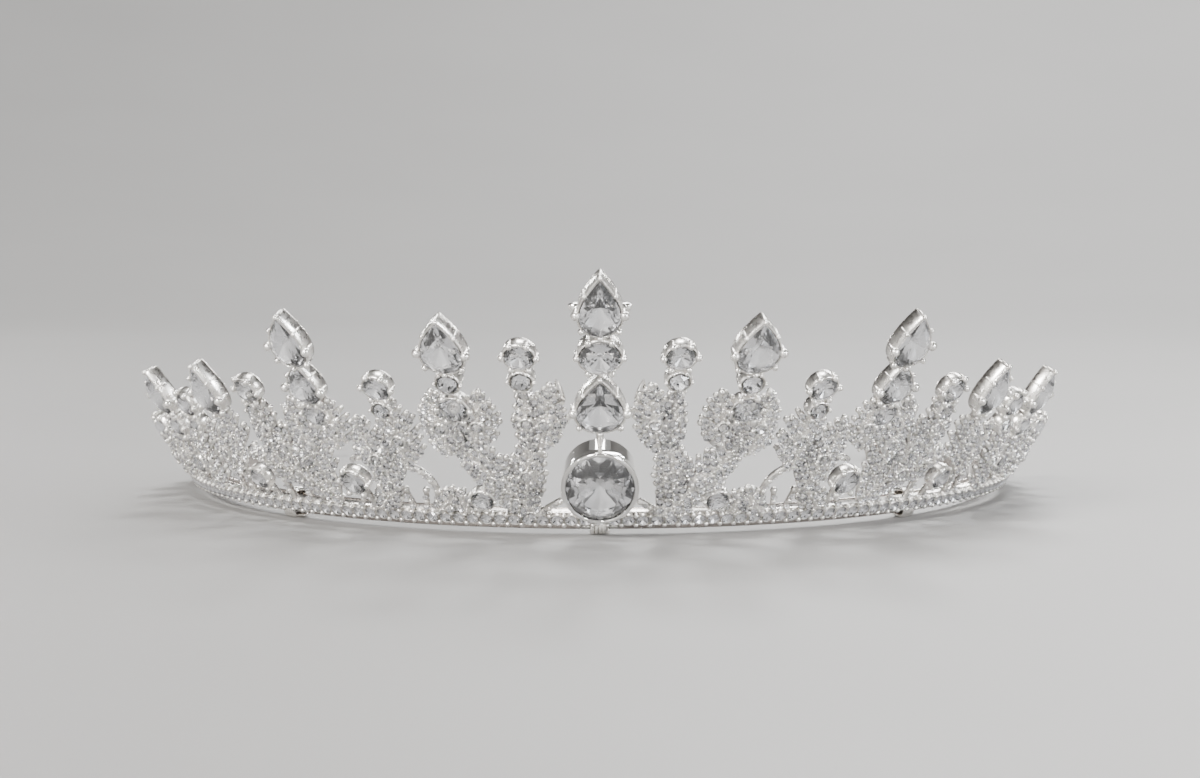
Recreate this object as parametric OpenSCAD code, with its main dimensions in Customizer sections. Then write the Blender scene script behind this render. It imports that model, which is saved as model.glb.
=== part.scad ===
// Bridal diadem: a plain headband, an openwork wall of leaf sprays and spikes, and its clear stones.
// Millimetres, +Z up, front towards -Y. It stands on its wire bindings and end clamps.
// Places on the wall are given as an angle from the front, a height up the wall's slope
// from the row of rim stones, and a distance out of the wall's face.

/* [Headband] */
// Inside radius of the headband
rim_r = 70; // [64:1:76]
// Radial thickness of the strip
band_t = 0.9; // [0.8:0.1:1.2]
// Height of the strip
band_h = 3.4; // [3:0.2:4]
// Angle from the front to each end clamp
end_deg = 96; // [92:1:100]
// Length of each plain end behind its clamp
tail_len = 34; // [26:1:40]
// Inward turn of the plain ends, in degrees
tail_turn = 26; // [18:1:30]
// Bore radius of the eyelet at each plain end
eyelet_r = 1.3; // [1:0.1:1.6]

/* [Wall] */
// Thickness of the openwork metal
wall_t = 0.9; // [0.8:0.1:1.2]
// Distance from the headband's inside to the rim stones, at the front
wall_gap = 3.2; // [3:0.1:4]
// Distance that is added to it towards the sides
wall_gap_side = 0.8; // [0.4:0.1:2]
// Height of the rim stones' centres
row_z = 3.2; // [3:0.1:4]
// Outward lean for each millimetre of height, all round
lean_out = 0.51; // [0.4:0.01:0.6]
// Forward lean for each millimetre of height, added to it
lean_front = 0.27; // [0.15:0.01:0.35]
// Size of the leaf sprays
leaf_scale = 1; // [0.8:0.05:1.15]

/* [Stones] */
// Diameter of the rim stones
rim_stone_d = 2; // [1.6:0.1:2]
// Distance between the centres of neighbouring rim stones
rim_pitch = 2.3; // [2.2:0.05:2.6]
// Diameter of the small stones on the sprays
pave_d = 1.8; // [1.4:0.1:2]
// Width of the large oval stone
oval_w = 10.8; // [9:0.1:11]
// Length of the large oval stone
oval_l = 14; // [12:0.1:14]
// Clear gap round each stone
stone_gap = 0.18; // [0.16:0.01:0.22]

/* [Bindings] */
// Radius of the binding wire
wire_r = 0.35; // [0.3:0.05:0.4]
// Number of turns in each binding
wire_turns = 4; // [3:1:5]
// Angle from the front to each side binding
side_binding_deg = 46; // [40:1:52]

/* [Hidden] */
strip_half = 1.35;
// Height at which leaves and stems stand on the strip
foot_h = strip_half - 0.15;

// Large stones on the middle line: name, shape, height, width, length
CENTRE_STONES = [
    ["centre_oval", "oval", 9.6, oval_w, oval_l],
    ["centre_pear", "pear", 26.2, 7.4, 10.6],
    ["centre_round", "round", 36.2, 6.4, 6.4],
    ["tip_pear", "pear", 46.2, 6.4, 11.2]
];

// Large stones of one side: name, shape, angle, height, width, length
PAIRED_STONES = [
    ["spike_1_round", "round", 8, 35.7, 4.6, 4.6],
    ["spike_2_pear", "pear", 15.7, 37.8, 6.8, 10],
    ["spike_2_round", "round", 15.7, 24.4, 4.6, 4.6],
    ["spike_3_round", "round", 24, 28.2, 4.4, 4.4],
    ["spike_4_pear", "pear", 33, 37.3, 6.2, 9.8],
    ["spike_4_low_pear", "pear", 33, 28.4, 5.8, 7.8],
    ["spike_4_round", "round", 33, 21.7, 4.2, 4.2],
    ["spike_5_round", "round", 42, 25.7, 4.4, 4.4],
    ["spike_6_pear", "pear", 49.5, 24.9, 6.2, 9.6],
    ["spike_7_round", "round", 56, 20.5, 4.4, 4.4],
    ["spike_8_pear", "pear", 62.7, 21.9, 5.8, 8.6],
    ["spike_8_round", "round", 62.7, 14.8, 4.2, 4.2],
    ["spike_9_round", "round", 71, 13.1, 4.2, 4.2],
    ["spike_10_round", "round", 78, 11.1, 4, 4],
    ["low_round_1", "round", 14.3, 4.4, 3.6, 3.6],
    ["low_round_2", "round", 31, 7.2, 4.6, 4.6],
    ["low_round_3", "round", 47.6, 5.6, 3.8, 3.8],
    ["low_round_4", "round", 62.7, 6.4, 3.6, 3.6]
];

// Small stones on the spikes of one side: angle, height, diameter
SPIKE_SMALL = [
    [8, 31, 3.4],
    [15.7, 30.2, 3.6],
    [24, 23.8, 3],
    [42, 21.4, 2.8],
    [56, 16.4, 2.6],
    [85, 8.2, 3],
    [90.5, 5.4, 2.4]
];

// Leaf sprays of one side: angle, height, turn, length, half width, bend, pairs of lobes, step out.
// The turn is measured from straight up and is positive away from the front.
SPRAYS = [
    [9, 3, -4, 16, 2.9, -8, 3, 0],
    [6.8, 15.4, -14, 14.6, 3.3, 8, 3, 0.4],
    [7.8, 16, 2, 12.6, 2.3, -4, 2, 0],
    [7.4, foot_h, 38, 21.5, 3.9, -2, 3, 0.3],
    [14.2, 15, -12, 13, 3.3, 4, 3, 0],
    [17, 14.5, 10, 13.5, 3.4, -8, 3, 0.4],
    [16.4, foot_h, 12, 5, 1.8, 0, 2, 0],
    [20.4, foot_h, -46, 6.6, 2, 30, 2, 0],
    [22.9, 10.5, 2, 14.5, 3.8, 2, 3, 0],
    [25, 6, 20, 16, 3.6, -10, 2, 0.2],
    [28.4, foot_h, -30, 7, 2.2, -20, 2, 0],
    [31.6, 14.4, -10, 10.5, 3.2, 6, 3, 0.3],
    [35.2, 6.5, 6, 18, 3.5, -2, 3, 0],
    [33.6, 3.2, 48, 20, 3.8, 34, 3, 0.4],
    [38, 9, 26, 12, 3.5, 8, 3, 0],
    [41.8, 12, -2, 13, 3.5, 2, 3, 0.3],
    [49, 9, -4, 12, 3.7, 4, 3, 0.3],
    [51.4, 5.4, 20, 12, 3.4, -14, 3, 0],
    [59, foot_h, -8, 15.5, 3.4, 2, 3, 0.3],
    [63.6, 3.5, 40, 12, 3.3, -30, 3, 0.3],
    [71.4, foot_h, 0, 10.4, 3.4, -2, 2, 0],
    [78.4, foot_h, 0, 8.8, 3.2, -2, 3, 0.2],
    [84.6, foot_h, 2, 8, 2.9, -2, 2, 0],
    [90.2, foot_h, 2, 5.6, 2.6, -2, 2, 0.2]
];

// Bare stems of one side: angle and height of the foot, then of the top
STEMS = [
    [7.2, foot_h, 4.8, 3.6],
    [15.7, 21, 15.7, 35],
    [8, 26, 8, 34],
    [15.2, foot_h, 14.3, 4.4],
    [29.4, foot_h, 31, 6],
    [32.4, 16, 33, 34],
    [24, 21, 24, 26],
    [42, 17, 42, 25],
    [38, foot_h, 37.4, 8],
    [43.4, foot_h, 43.8, 9],
    [46.6, foot_h, 47.4, 5],
    [49.5, 17, 49.5, 23],
    [51.8, foot_h, 51.4, 7],
    [57.6, 8, 56, 19.6],
    [62.7, foot_h, 62.7, 19],
    [71, 8, 71, 12],
    [78, 7, 78, 10]
];

// Scrolls of one side, bent round a point: angle, height, radius, first and last turn
SCROLLS = [
    [24.4, 5.2, 5.6, -80, 70],
    [29, 8, 4, -80, 40],
    [47.6, 5.6, 4.6, -90, 90]
];

// Plain drop-shaped tips of one side: angle, height, turn, length
DROPS = [
    [4.2, 25, 6, 5],
    [12.6, 21, -14, 5],
    [37.4, 17.6, 20, 4.6]
];
TIP_DROP = [2.1, 44.6, 50, 2.8];

RIGHT = 1;
LEFT = -1;
ROUND_SIDES = 8;
PEAR_SIDES = 10;
OVAL_SIDES = 16;
SMALL_SIDES = 6;
TABLE_SHARE = 0.58;
CROWN_SHARE = 0.17;
PAVILION_SHARE = 0.24;
RIM_STEPS = 32;
small_round_d = 4;
PAVE_PAIRS = 3;
pave_lift = 0.3;
seat_wall = 0.5;
seat_back = -wall_t / 2 - 0.1;
spray_back = 0.1 - wall_t / 2;
scroll_back = 0.2 - wall_t / 2;
claw_rise = 0.3;
bezel_rise = 0.15;
stem_half = 0.6;
rib_rise = 0.5;
fit_gap = 0.12;
band_z = 2 * wire_r + fit_gap;
band_out = rim_r + band_t;
tie_in = band_out + 0.2;
tie_w = 0.8;
tie_h = 0.9;
tie_z = band_z + 0.1;
tie_deg = 2.4;
rear_wire_r = 0.35;
rear_wire_z = band_z + band_h - 0.7;
collar_in = rim_r - fit_gap;
collar_out = tie_in + tie_w + fit_gap;
wire_pitch = 1.8 * wire_r;
binding_half = wire_turns / 2 * wire_pitch + 2 * fit_gap;
BINDING_ANGLES = [-side_binding_deg, 0, side_binding_deg];
clamp_len = 3;
clamp_wall = 0.6;
tail_deg = end_deg + 2;
tail_mid = rim_r + band_t / 2;
bend_r = band_t / 2 + 0.06;
eyelet_out = eyelet_r + 1.1;
eyelet_h = 1.2;
tail_x = tail_mid * sin(tail_deg) - tail_len * sin(tail_turn);
tail_y = -tail_mid * cos(tail_deg) + tail_len * cos(tail_turn);
tip = CENTRE_STONES[3];
front_y = wall_point(0, tip[2] + tip[4] / 2 + seat_wall, girdle_n(tip[3]) + claw_rise)[1];
shift_y = -(front_y + tail_y + eyelet_out) / 2;
rim_last = floor((end_deg - 3.2) * PI / 180 * (rim_r + wall_gap + wall_gap_side / 2) / rim_pitch);

// The wall's own coordinates

function unit(v) = v / norm(v);
function row_r(a) = rim_r + wall_gap + wall_gap_side * pow(sin(a), 2);
function foot(a) = [row_r(a) * sin(a), -row_r(a) * cos(a), row_z];
function slope(a) = unit([lean_out * sin(a), -lean_front - lean_out * cos(a), 1]);
function rim_way(a) = [cos(a), sin(a), 0];
function along(a) = unit(rim_way(a) - (rim_way(a) * slope(a)) * slope(a));
function face(a) = cross(along(a), slope(a));
function wall_point(a, h, n) = foot(a) + h * slope(a) + n * face(a);
function reach(a, h) = norm([for (i = [0:1]) (foot(a) + h * slope(a))[i]]);

// Point beside an angle and height: x along the rim, y up the slope, n out of the face
function beside(a, h, p, n) = wall_point(a + p[0] / reach(a, h + p[1]) * 180 / PI, h + p[1], n);

// Columns that turn a flat motif into the wall's place at an angle and height
function wall_frame(a, h) = [
    for (i = [0:2]) [along(a)[i], slope(a)[i], face(a)[i], wall_point(a, h, 0)[i]]
];

module on_wall(a, h) {
    multmatrix(concat(wall_frame(a, h), [[0, 0, 0, 1]])) children();
}

module in_place(side = RIGHT) {
    translate([0, shift_y, 0])
        mirror([side == LEFT ? 1 : 0, 0, 0]) children();
}

// Solid through a list of sections that all have the same number of corners
module loft(rows) {
    n = len(rows);
    m = len(rows[0]);
    sides = [
        for (i = [0:n - 2], j = [0:m - 1]) each
            let (k = (j + 1) % m, low = i * m, high = low + m)
            [[low + j, high + j, high + k], [low + j, high + k, low + k]]
    ];
    first = [for (j = [0:m - 1]) j];
    last = [for (j = [m - 1:-1:0]) (n - 1) * m + j];
    polyhedron([for (row = rows) each row], concat(sides, [first, last]));
}

// Stones

function pear_point(q) = [sin(q) * sin(q / 2) / 0.77, cos(q)];
function outline(shape, w, l) = let (
        sides = shape == "pear" ? PEAR_SIDES : shape == "oval" ? OVAL_SIDES :
            w > small_round_d ? ROUND_SIDES : SMALL_SIDES
    ) [
        for (i = [0:sides - 1]) let (q = 360 * i / sides, p = pear_point(q))
            shape == "pear" ? [p[0] * w / 2, p[1] * l / 2] : [sin(q) * w / 2, cos(q) * l / 2]
    ];
function grown(p, d) = p + d * unit(p);
function at_height(points, n) = [for (p = points) [p[0], p[1], n]];
function between(points) = [
    for (i = [0:len(points) - 1]) (points[i] + points[(i + 1) % len(points)]) / 2
];
function girdle_n(w) = wall_t / 2 + PAVILION_SHARE * w + 0.15;

// Cut stone: a table, a crown of triangles and a pavilion that ends in a point
module cut_stone(points, w) {
    k = len(points);
    culet = 2 * k;
    table = TABLE_SHARE / cos(180 / k) * between(points);
    crown = [
        for (i = [0:k - 1]) each let (j = (i + 1) % k)
            [[i, j, k + i], [j, k + j, k + i]]
    ];
    pavilion = [for (i = [0:k - 1]) [(i + 1) % k, i, culet]];
    polyhedron(
        concat(at_height(points, 0), at_height(table, CROWN_SHARE * w), [[0, 0, -PAVILION_SHARE * w]]),
        [for (f = concat(crown, pavilion, [[for (i = [0:k - 1]) k + i]])) [for (v = f) v]]
    );
}

module small_stone(d) {
    cut_stone([for (i = [0:SMALL_SIDES - 1]) d / 2 * [sin(60 * i), cos(60 * i)]], d);
}

// Block for a stone's seat, with an even bezel
module bezel_seat(points, w) {
    outer = [for (p = points) grown(p, seat_wall)];
    loft([at_height(outer, girdle_n(w) + bezel_rise), at_height(outer, seat_back)]);
}

// Block for a stone's seat whose edge rises in claws
module claw_seat(points, w) {
    top = girdle_n(w);
    outer = [for (p = points) grown(p, seat_wall)];
    claws = [
        for (i = [0:len(points) - 1]) concat(outer[i], top + (i % 2 == 0 ? claw_rise : -claw_rise))
    ];
    loft([at_height(0.5 * between(points), top - claw_rise), claws, at_height(outer, seat_back)]);
}

module seat(shape, w, l) {
    if (shape == "pear") claw_seat(outline(shape, w, l), w);
    else bezel_seat(outline(shape, w, l), w);
}

// Room for a stone, with its clear gap and open to the front
module pocket(points, w) {
    room = [for (p = points) grown(p, stone_gap)];
    floor_n = girdle_n(w) - PAVILION_SHARE * w - stone_gap;
    loft([at_height(room, girdle_n(w) + 2), at_height(room, floor_n)]);
}

// Openwork wall

function arc_point(turn, bend, y) = let (b = bend * y, half = b / 2)
    y * (b == 0 ? 1 : sin(half) / (half * PI / 180)) * [sin(turn + half), cos(turn + half)];

// Height of a place on the leaves, which moves with their size
function leaf_h(h) = foot_h + (h - foot_h) * leaf_scale;

// Leaf spray: a ribbed blade with pairs of lobes, bent along the wall
module spray(a, h, turn, length, half_w, bend, pairs, out) {
    steps = 2 * pairs;
    size = length * leaf_scale;
    rows = [
        for (i = [0:steps]) let (
            y = size * i / steps,
            mid = arc_point(turn, bend / size, y),
            way = turn + bend * i / steps,
            swell = pow(sin(180 * (0.12 + 0.84 * pow(i / steps, 0.8))), 0.6),
            w = half_w * leaf_scale * swell * (i % 2 == 1 ? 1 : 0.7),
            lift = i % 2 == 1 ? 0.5 * w : 0,
            side = w * [cos(way), -sin(way)],
            fore = lift * [sin(way), cos(way)],
            rib = wall_t / 2 + rib_rise * (1 - i / steps / 2)
        ) [
            beside(a, h, mid - side + fore, spray_back + out),
            beside(a, h, mid, rib + out),
            beside(a, h, mid + side + fore, spray_back + out)
        ]
    ];
    loft(rows);
}

module stem(a1, h1, a2, h2) {
    lean = (a2 - a1) * reach(a1, h1) * PI / 180;
    across = stem_half / norm([lean, h2 - h1]) * [h2 - h1, -lean];
    function end(a, h) = [
        beside(a, h, -across, -wall_t / 2),
        beside(a, h, -across, wall_t / 2),
        beside(a, h, across, wall_t / 2),
        beside(a, h, across, -wall_t / 2)
    ];
    loft([end(a1, h1), end(a2, h2)]);
}

module scroll(a, h, r, first, last) {
    steps = 4;
    function ring(q, s) = (r + s * stem_half) * [sin(q), cos(q)];
    loft([
        for (i = [0:steps]) let (q = first + (last - first) * i / steps) [
            beside(a, h, ring(q, 1), scroll_back),
            beside(a, h, ring(q, 1), wall_t / 2 + 0.3),
            beside(a, h, ring(q, -1), wall_t / 2 + 0.3),
            beside(a, h, ring(q, -1), scroll_back)
        ]
    ]);
}

module drop(a, h, turn, length) {
    on_wall(a, h) rotate([0, 0, -turn]) hull() {
        sphere(r = 1, $fn = 4);
        translate([0, length - 1.6, 0.2]) sphere(r = 0.8, $fn = 4);
    }
}

// Strip that carries the row of rim stones
module rim_strip() {
    loft([
        for (i = [0:RIM_STEPS]) let (a = rim_angle(i)) [
            wall_point(a, strip_half, -wall_t / 2),
            wall_point(a, strip_half, wall_t / 2),
            wall_point(a, -strip_half, wall_t / 2),
            wall_point(a, -strip_half, -wall_t / 2)
        ]
    ]);
}

function rim_angle(i) = end_deg * (2 * i / RIM_STEPS - 1);
function polar(r, a, z) = [r * sin(a), -r * cos(a), z];

// Bar behind the rim strip, beside the headband, with a foot at each angle in the list
module tie_bar(first, last, feet) {
    loft([
        for (a = [first, last]) [
            polar(tie_in, a, tie_z),
            polar(tie_in, a, tie_z + tie_h),
            polar(tie_in + tie_w, a, tie_z + tie_h),
            polar(tie_in + tie_w, a, tie_z)
        ]
    ]);
    for (a = feet) tie_foot(a);
}

module tie_foot(a) {
    half = tie_w / 2 / rim_r * 180 / PI;
    loft([
        for (q = [a - half, a + half]) [
            polar(tie_in + tie_w / 2, q, tie_z + 0.15),
            polar(tie_in + tie_w / 2, q, tie_z + tie_h - 0.15),
            wall_point(q, 0.2, 0),
            wall_point(q, -0.6, 0)
        ]
    ]);
}

// Room for a binding's outer legs beside the rim strip
module binding_room(a) {
    rotate([0, 0, a]) translate([-binding_half, -collar_out - fit_gap - 2 * wire_r, 0])
        cube([2 * binding_half, collar_out - rim_r, band_z + band_h + 1]);
}

module wall_side() {
    for (s = SPRAYS) spray(s[0], leaf_h(s[1]), s[2], s[3], s[4], s[5], s[6], s[7]);
    for (s = STEMS) stem(s[0], leaf_h(s[1]), s[2], s[3]);
    for (s = SCROLLS) scroll(s[0], s[1], s[2], s[3], s[4]);
    for (s = DROPS) drop(s[0], leaf_h(s[1]), s[2], s[3]);
    drop(TIP_DROP[0], TIP_DROP[1], TIP_DROP[2], TIP_DROP[3]);
    for (s = PAIRED_STONES)
        on_wall(s[2], s[3]) seat(s[1], s[4], s[5]);
    tie_bar(end_deg - 3, end_deg + 1.6, [end_deg - 2.6]);
}

module side_pockets() {
    for (s = PAIRED_STONES)
        on_wall(s[2], s[3]) pocket(outline(s[1], s[4], s[5]), s[4]);
}

module openwork_wall() color("silver") difference() {
    union() {
        in_place() {
            rim_strip();
            for (a = BINDING_ANGLES) tie_bar(a - tie_deg, a + tie_deg, [a - tie_deg, a + tie_deg]);
            stem(0, foot_h, 0, tip[2] - 0.2 * tip[4]);
            for (s = CENTRE_STONES)
                on_wall(0, s[2]) seat(s[1], s[3], s[4]);
        }
        for (side = [LEFT, RIGHT]) in_place(side) wall_side();
    }
    in_place() for (s = CENTRE_STONES) on_wall(0, s[2]) pocket(outline(s[1], s[3], s[4]), s[3]);
    in_place() for (a = BINDING_ANGLES) binding_room(a);
    for (side = [LEFT, RIGHT]) in_place(side) side_pockets();
}

// Headband with its plain ends

module headband() color("dimgray") in_place() {
    rotate([0, 0, 270 - tail_deg]) rotate_extrude(angle = 2 * tail_deg, $fn = 180)
        translate([rim_r, band_z]) square([band_t, band_h]);
    for (side = [LEFT, RIGHT]) mirror([side == LEFT ? 1 : 0, 0, 0]) tail();
}

module tail() {
    mid_z = band_z + band_h / 2;
    difference() {
        union() {
            translate([tail_x, tail_y, 0]) rotate([0, 0, tail_turn])
                translate([-band_t / 2, -tail_len, band_z])
                    cube([band_t, tail_len - eyelet_r - 0.4, band_h]);
            translate([tail_mid * sin(tail_deg), -tail_mid * cos(tail_deg), band_z])
                cylinder(r = bend_r, h = band_h, $fn = 32);
            translate([tail_x, tail_y, mid_z - eyelet_h / 2])
                cylinder(r = eyelet_out, h = eyelet_h, $fn = 48);
        }
        translate([tail_x, tail_y, mid_z - band_h])
            cylinder(r = eyelet_r, h = 2 * band_h, $fn = 48);
    }
}

// Bindings and clamps

// Wire round the headband, the rear wire and the wall's tie bar, its turns side by side
module binding(a) color("gainsboro") in_place() rotate([0, 0, a])
    for (i = [0:wire_turns - 1]) translate([(i - (wire_turns - 1) / 2) * wire_pitch, 0, 0]) wire_turn();

module wire_turn() {
    near = collar_in - wire_r;
    far = collar_out + wire_r;
    low = wire_r;
    high = band_z + band_h + fit_gap + wire_r;
    for (r = [near, far]) wire_leg([0, -r, low], high - low, 0);
    for (z = [low, high]) wire_leg([0, -near, z], far - near, 90);
    for (r = [near, far], z = [low, high]) translate([0, -r, z]) sphere(r = wire_r, $fn = 24);
}

module wire_leg(start, length, turn) {
    translate(start) rotate([turn, 0, 0]) cylinder(r = wire_r, h = length, $fn = 24);
}

module clamp(side) color("silver") in_place(side) rotate([0, 0, end_deg]) difference() {
    translate([-clamp_len / 2, -collar_out - clamp_wall, 0])
        cube([clamp_len, collar_out - collar_in + 2 * clamp_wall, band_z + band_h + fit_gap + clamp_wall]);
    translate([-clamp_len, -collar_out, band_z - fit_gap])
        cube([2 * clamp_len, collar_out - collar_in, band_h + 2 * fit_gap]);
}

module rear_wire() color("dimgray") in_place()
    rotate([0, 0, 270 - end_deg - 1.6]) rotate_extrude(angle = 2 * (end_deg + 1.6), $fn = 180)
        translate([tie_in + tie_w / 2, rear_wire_z]) circle(r = rear_wire_r, $fn = 24);

// Stones in place

module rim_stones() color("lightcyan") in_place() {
    for (i = [-rim_last:rim_last])
        let (a = i * rim_pitch / (rim_r + wall_gap + wall_gap_side / 2) * 180 / PI)
            on_wall(a, 0) translate([0, 0, wall_t / 2 + 0.1 + PAVILION_SHARE * rim_stone_d])
                small_stone(rim_stone_d);
}

// Place of a small stone, with its clear gap over a rib
module on_rib(a, h, d, out) {
    on_wall(a, h) translate([0, 0, wall_t / 2 + rib_rise + pave_lift + out + PAVILION_SHARE * d])
        small_stone(d);
}

module pave_side() {
    for (s = SPRAYS) if (s[6] >= PAVE_PAIRS)
        let (p = arc_point(s[2], s[5] / s[3], s[3] * leaf_scale * 0.45), h = leaf_h(s[1]) + p[1])
            on_rib(s[0] + p[0] / reach(s[0], h) * 180 / PI, h, pave_d, s[7]);
    for (s = SPIKE_SMALL) on_rib(s[0], s[1], s[2], 0);
}

module pave_stones() color("azure") {
    for (side = [LEFT, RIGHT]) in_place(side) pave_side();
}

module centre_stone(s) color("lightcyan") in_place()
    on_wall(0, s[2]) translate([0, 0, girdle_n(s[3])]) cut_stone(outline(s[1], s[3], s[4]), s[3]);

module paired_stone(s, side) color("lightcyan") in_place(side)
    on_wall(s[2], s[3]) translate([0, 0, girdle_n(s[4])]) cut_stone(outline(s[1], s[4], s[5]), s[4]);

headband();
rear_wire();
openwork_wall();
binding(0);  // binding_centre
binding(-side_binding_deg);  // binding_left
binding(side_binding_deg);  // binding_right
clamp(LEFT);  // clamp_left
clamp(RIGHT);  // clamp_right
rim_stones();
pave_stones();
for (s = CENTRE_STONES) centre_stone(s);
for (s = PAIRED_STONES) paired_stone(s, LEFT);
for (s = PAIRED_STONES) paired_stone(s, RIGHT);
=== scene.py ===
"""Bridal diadem: silver openwork with leaf sprays, cut stones, headband, wire bindings and a studio.

Lengths are in millimetres until a mesh is made, and places on the wall are given as in the solids:
an angle from the front, a height up the wall's slope and a distance out of its face.
"""

import logging
import math
from dataclasses import dataclass, field
from enum import Enum
from typing import Iterable, Sequence

import bmesh
import bpy
import numpy as np
from mathutils import Matrix, Vector


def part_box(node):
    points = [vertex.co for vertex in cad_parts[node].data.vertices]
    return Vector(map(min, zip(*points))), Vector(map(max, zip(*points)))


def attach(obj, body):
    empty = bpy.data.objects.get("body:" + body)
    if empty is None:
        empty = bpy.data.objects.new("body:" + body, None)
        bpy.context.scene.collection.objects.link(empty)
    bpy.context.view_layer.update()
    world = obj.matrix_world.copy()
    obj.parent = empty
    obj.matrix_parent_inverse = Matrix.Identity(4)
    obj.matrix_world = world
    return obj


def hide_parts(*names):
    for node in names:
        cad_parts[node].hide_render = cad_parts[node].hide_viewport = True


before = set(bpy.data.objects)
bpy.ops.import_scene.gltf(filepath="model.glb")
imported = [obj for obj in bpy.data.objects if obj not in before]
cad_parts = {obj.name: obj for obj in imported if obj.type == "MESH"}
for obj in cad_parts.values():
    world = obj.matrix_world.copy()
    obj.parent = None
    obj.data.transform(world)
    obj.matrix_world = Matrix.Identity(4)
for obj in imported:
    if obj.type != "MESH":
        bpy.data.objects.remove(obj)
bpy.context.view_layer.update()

LOG = logging.getLogger("diadem")
MM = 0.001
BODY = "root"
SIDES = (-1, 1)
# Angles of the three places at which the wall is tied to the headband
TIE_ANGLES = (-46, 0, 46)
Colour = tuple[float, float, float]
Array = np.ndarray
Piece = bpy.types.Object
Material = bpy.types.Material
Socket = bpy.types.NodeSocket


class Slot(Enum):
    """Material slots of the record."""

    PLATED = "plated_metal"
    BAND = "band_metal"
    WIRE = "binding_wire"
    STONE = "clear_stone"


class Cut(Enum):
    """Outlines of the cut stones."""

    ROUND = "round"
    PEAR = "pear"
    OVAL = "oval"


# Finishes


class ShaderTree:
    """The node tree of one material, on Object coordinates."""

    def __init__(self, name: str) -> None:
        """Makes the material.

        Args:
            name: Its name.
        """
        self.material = bpy.data.materials.new(name)
        self.material.use_nodes = True
        self.nodes, self.links = self.material.node_tree.nodes, self.material.node_tree.links
        self.shader = self.nodes["Principled BSDF"]
        self.place = self.nodes.new("ShaderNodeTexCoord").outputs["Object"]

    def fill(self, node: bpy.types.Node, values: dict[str | int, object]) -> None:
        """Sets or links inputs of a node.

        Args:
            node: The node.
            values: A value, or the socket to link, by the input's name or number.
        """
        for name, value in values.items():
            if isinstance(value, Socket):
                self.links.new(value, node.inputs[name])
            else:
                node.inputs[name].default_value = value

    def add(self, kind: str, values: dict[str | int, object], **options: object) -> bpy.types.Node:
        """Adds a node.

        Args:
            kind: The kind of shader node.
            values: Its inputs, as for fill.
            options: Its own settings.

        Returns:
            The node.
        """
        made = self.nodes.new("ShaderNode" + kind)
        for name, option in options.items():
            setattr(made, name, option)
        self.fill(made, values)
        return made

    def cloud(self, scale: float, detail: float = 2.0) -> Socket:
        """Adds noise of that scale and detail and returns the socket of its values."""
        return self.add("TexNoise", {"Vector": self.place, "Scale": scale, "Detail": detail}).outputs["Fac"]

    def ramp(self, value: Socket, start: tuple[float, float], end: tuple[float, float]) -> Socket:
        """Maps values from one range to another.

        Args:
            value: The socket of the values.
            start: Their range.
            end: The range that they are brought to, and held in.

        Returns:
            The socket of the mapped values.
        """
        values = {"From Min": start[0], "From Max": start[1], "To Min": end[0], "To Max": end[1]}
        return self.add("MapRange", {"Value": value, **values}).outputs["Result"]

    def blend(self, share: Socket, low: Colour, high: Colour) -> Socket:
        """Blends from the colour low to the colour high by share and returns the socket of the result."""
        values = {"Factor": share, "A": (*low, 1), "B": (*high, 1)}
        return self.add("Mix", values, data_type="RGBA").outputs["Result"]


@dataclass(frozen=True)
class MetalFinish:
    """A plated metal: bright on its high places, with painted shade in its hollows and on lower flanks,
    duller in worn patches and grained all over.
    """

    name: str
    bright: Colour
    # Tone of the worn patches, and of the painted shade in the hollows
    dull: Colour
    roughness: tuple[float, float]
    grain: float
    depth: float
    # How strongly the painted shade of the hollows and lower flanks darkens this metal
    hollow_share: float = 0.0

    # The grain's detail and the part of its values that counts, and the bump that it gives
    DETAIL = 4.0
    GRAIN_RANGE = (0.3, 0.7)
    BUMP = 0.35
    # Worn patches: how many grains wide they are, where they start and how dull they get
    PATCH = 6
    WORN_RANGE = (0.52, 0.8)
    WORN = 0.22

    def build(self) -> Material:
        """Builds the node material.

        Returns:
            The material, which reads Object coordinates and the attribute of painted shade in the hollows and
            on lower flanks.
        """
        tree = ShaderTree(self.name)
        grain = tree.cloud(self.grain, self.DETAIL)
        worn = tree.ramp(tree.cloud(self.grain / self.PATCH), self.WORN_RANGE, (0.0, self.WORN))
        # Painted shade: the hollows and lower flanks are blended towards the dull tone, together with the
        # worn patches
        hollow = tree.add("Attribute", {}, attribute_name="hollow").outputs["Fac"]
        values = {0: hollow, 1: self.hollow_share, 2: worn}
        dull = tree.add("Math", values, operation="MULTIPLY_ADD", use_clamp=True).outputs["Value"]
        bump = tree.add("Bump", {"Height": grain, "Strength": self.BUMP, "Distance": self.depth})
        surface = {
            "Metallic": 1.0,
            "Roughness": tree.ramp(grain, self.GRAIN_RANGE, self.roughness),
            "Base Color": tree.blend(dull, self.bright, self.dull),
            "Normal": bump.outputs["Normal"],
        }
        tree.fill(tree.shader, surface)
        return tree.material


@dataclass(frozen=True)
class GlassFinish:
    """The clear crown of a stone, with faint clouds in its tint."""

    name: str = "clear_crystal"
    tint: Colour = (0.985, 0.99, 1.0)
    cloud: Colour = (0.93, 0.94, 0.96)
    grain: float = 160.0
    index: float = 1.56
    clear: float = 0.97
    roughness: float = 0.015

    def build(self) -> Material:
        """Builds the node material and returns it."""
        tree = ShaderTree(self.name)
        tint = tree.blend(tree.cloud(self.grain), self.tint, self.cloud)
        values = {"IOR": self.index, "Transmission Weight": self.clear, "Roughness": self.roughness}
        tree.fill(tree.shader, {**values, "Base Color": tint})
        return tree.material


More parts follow.
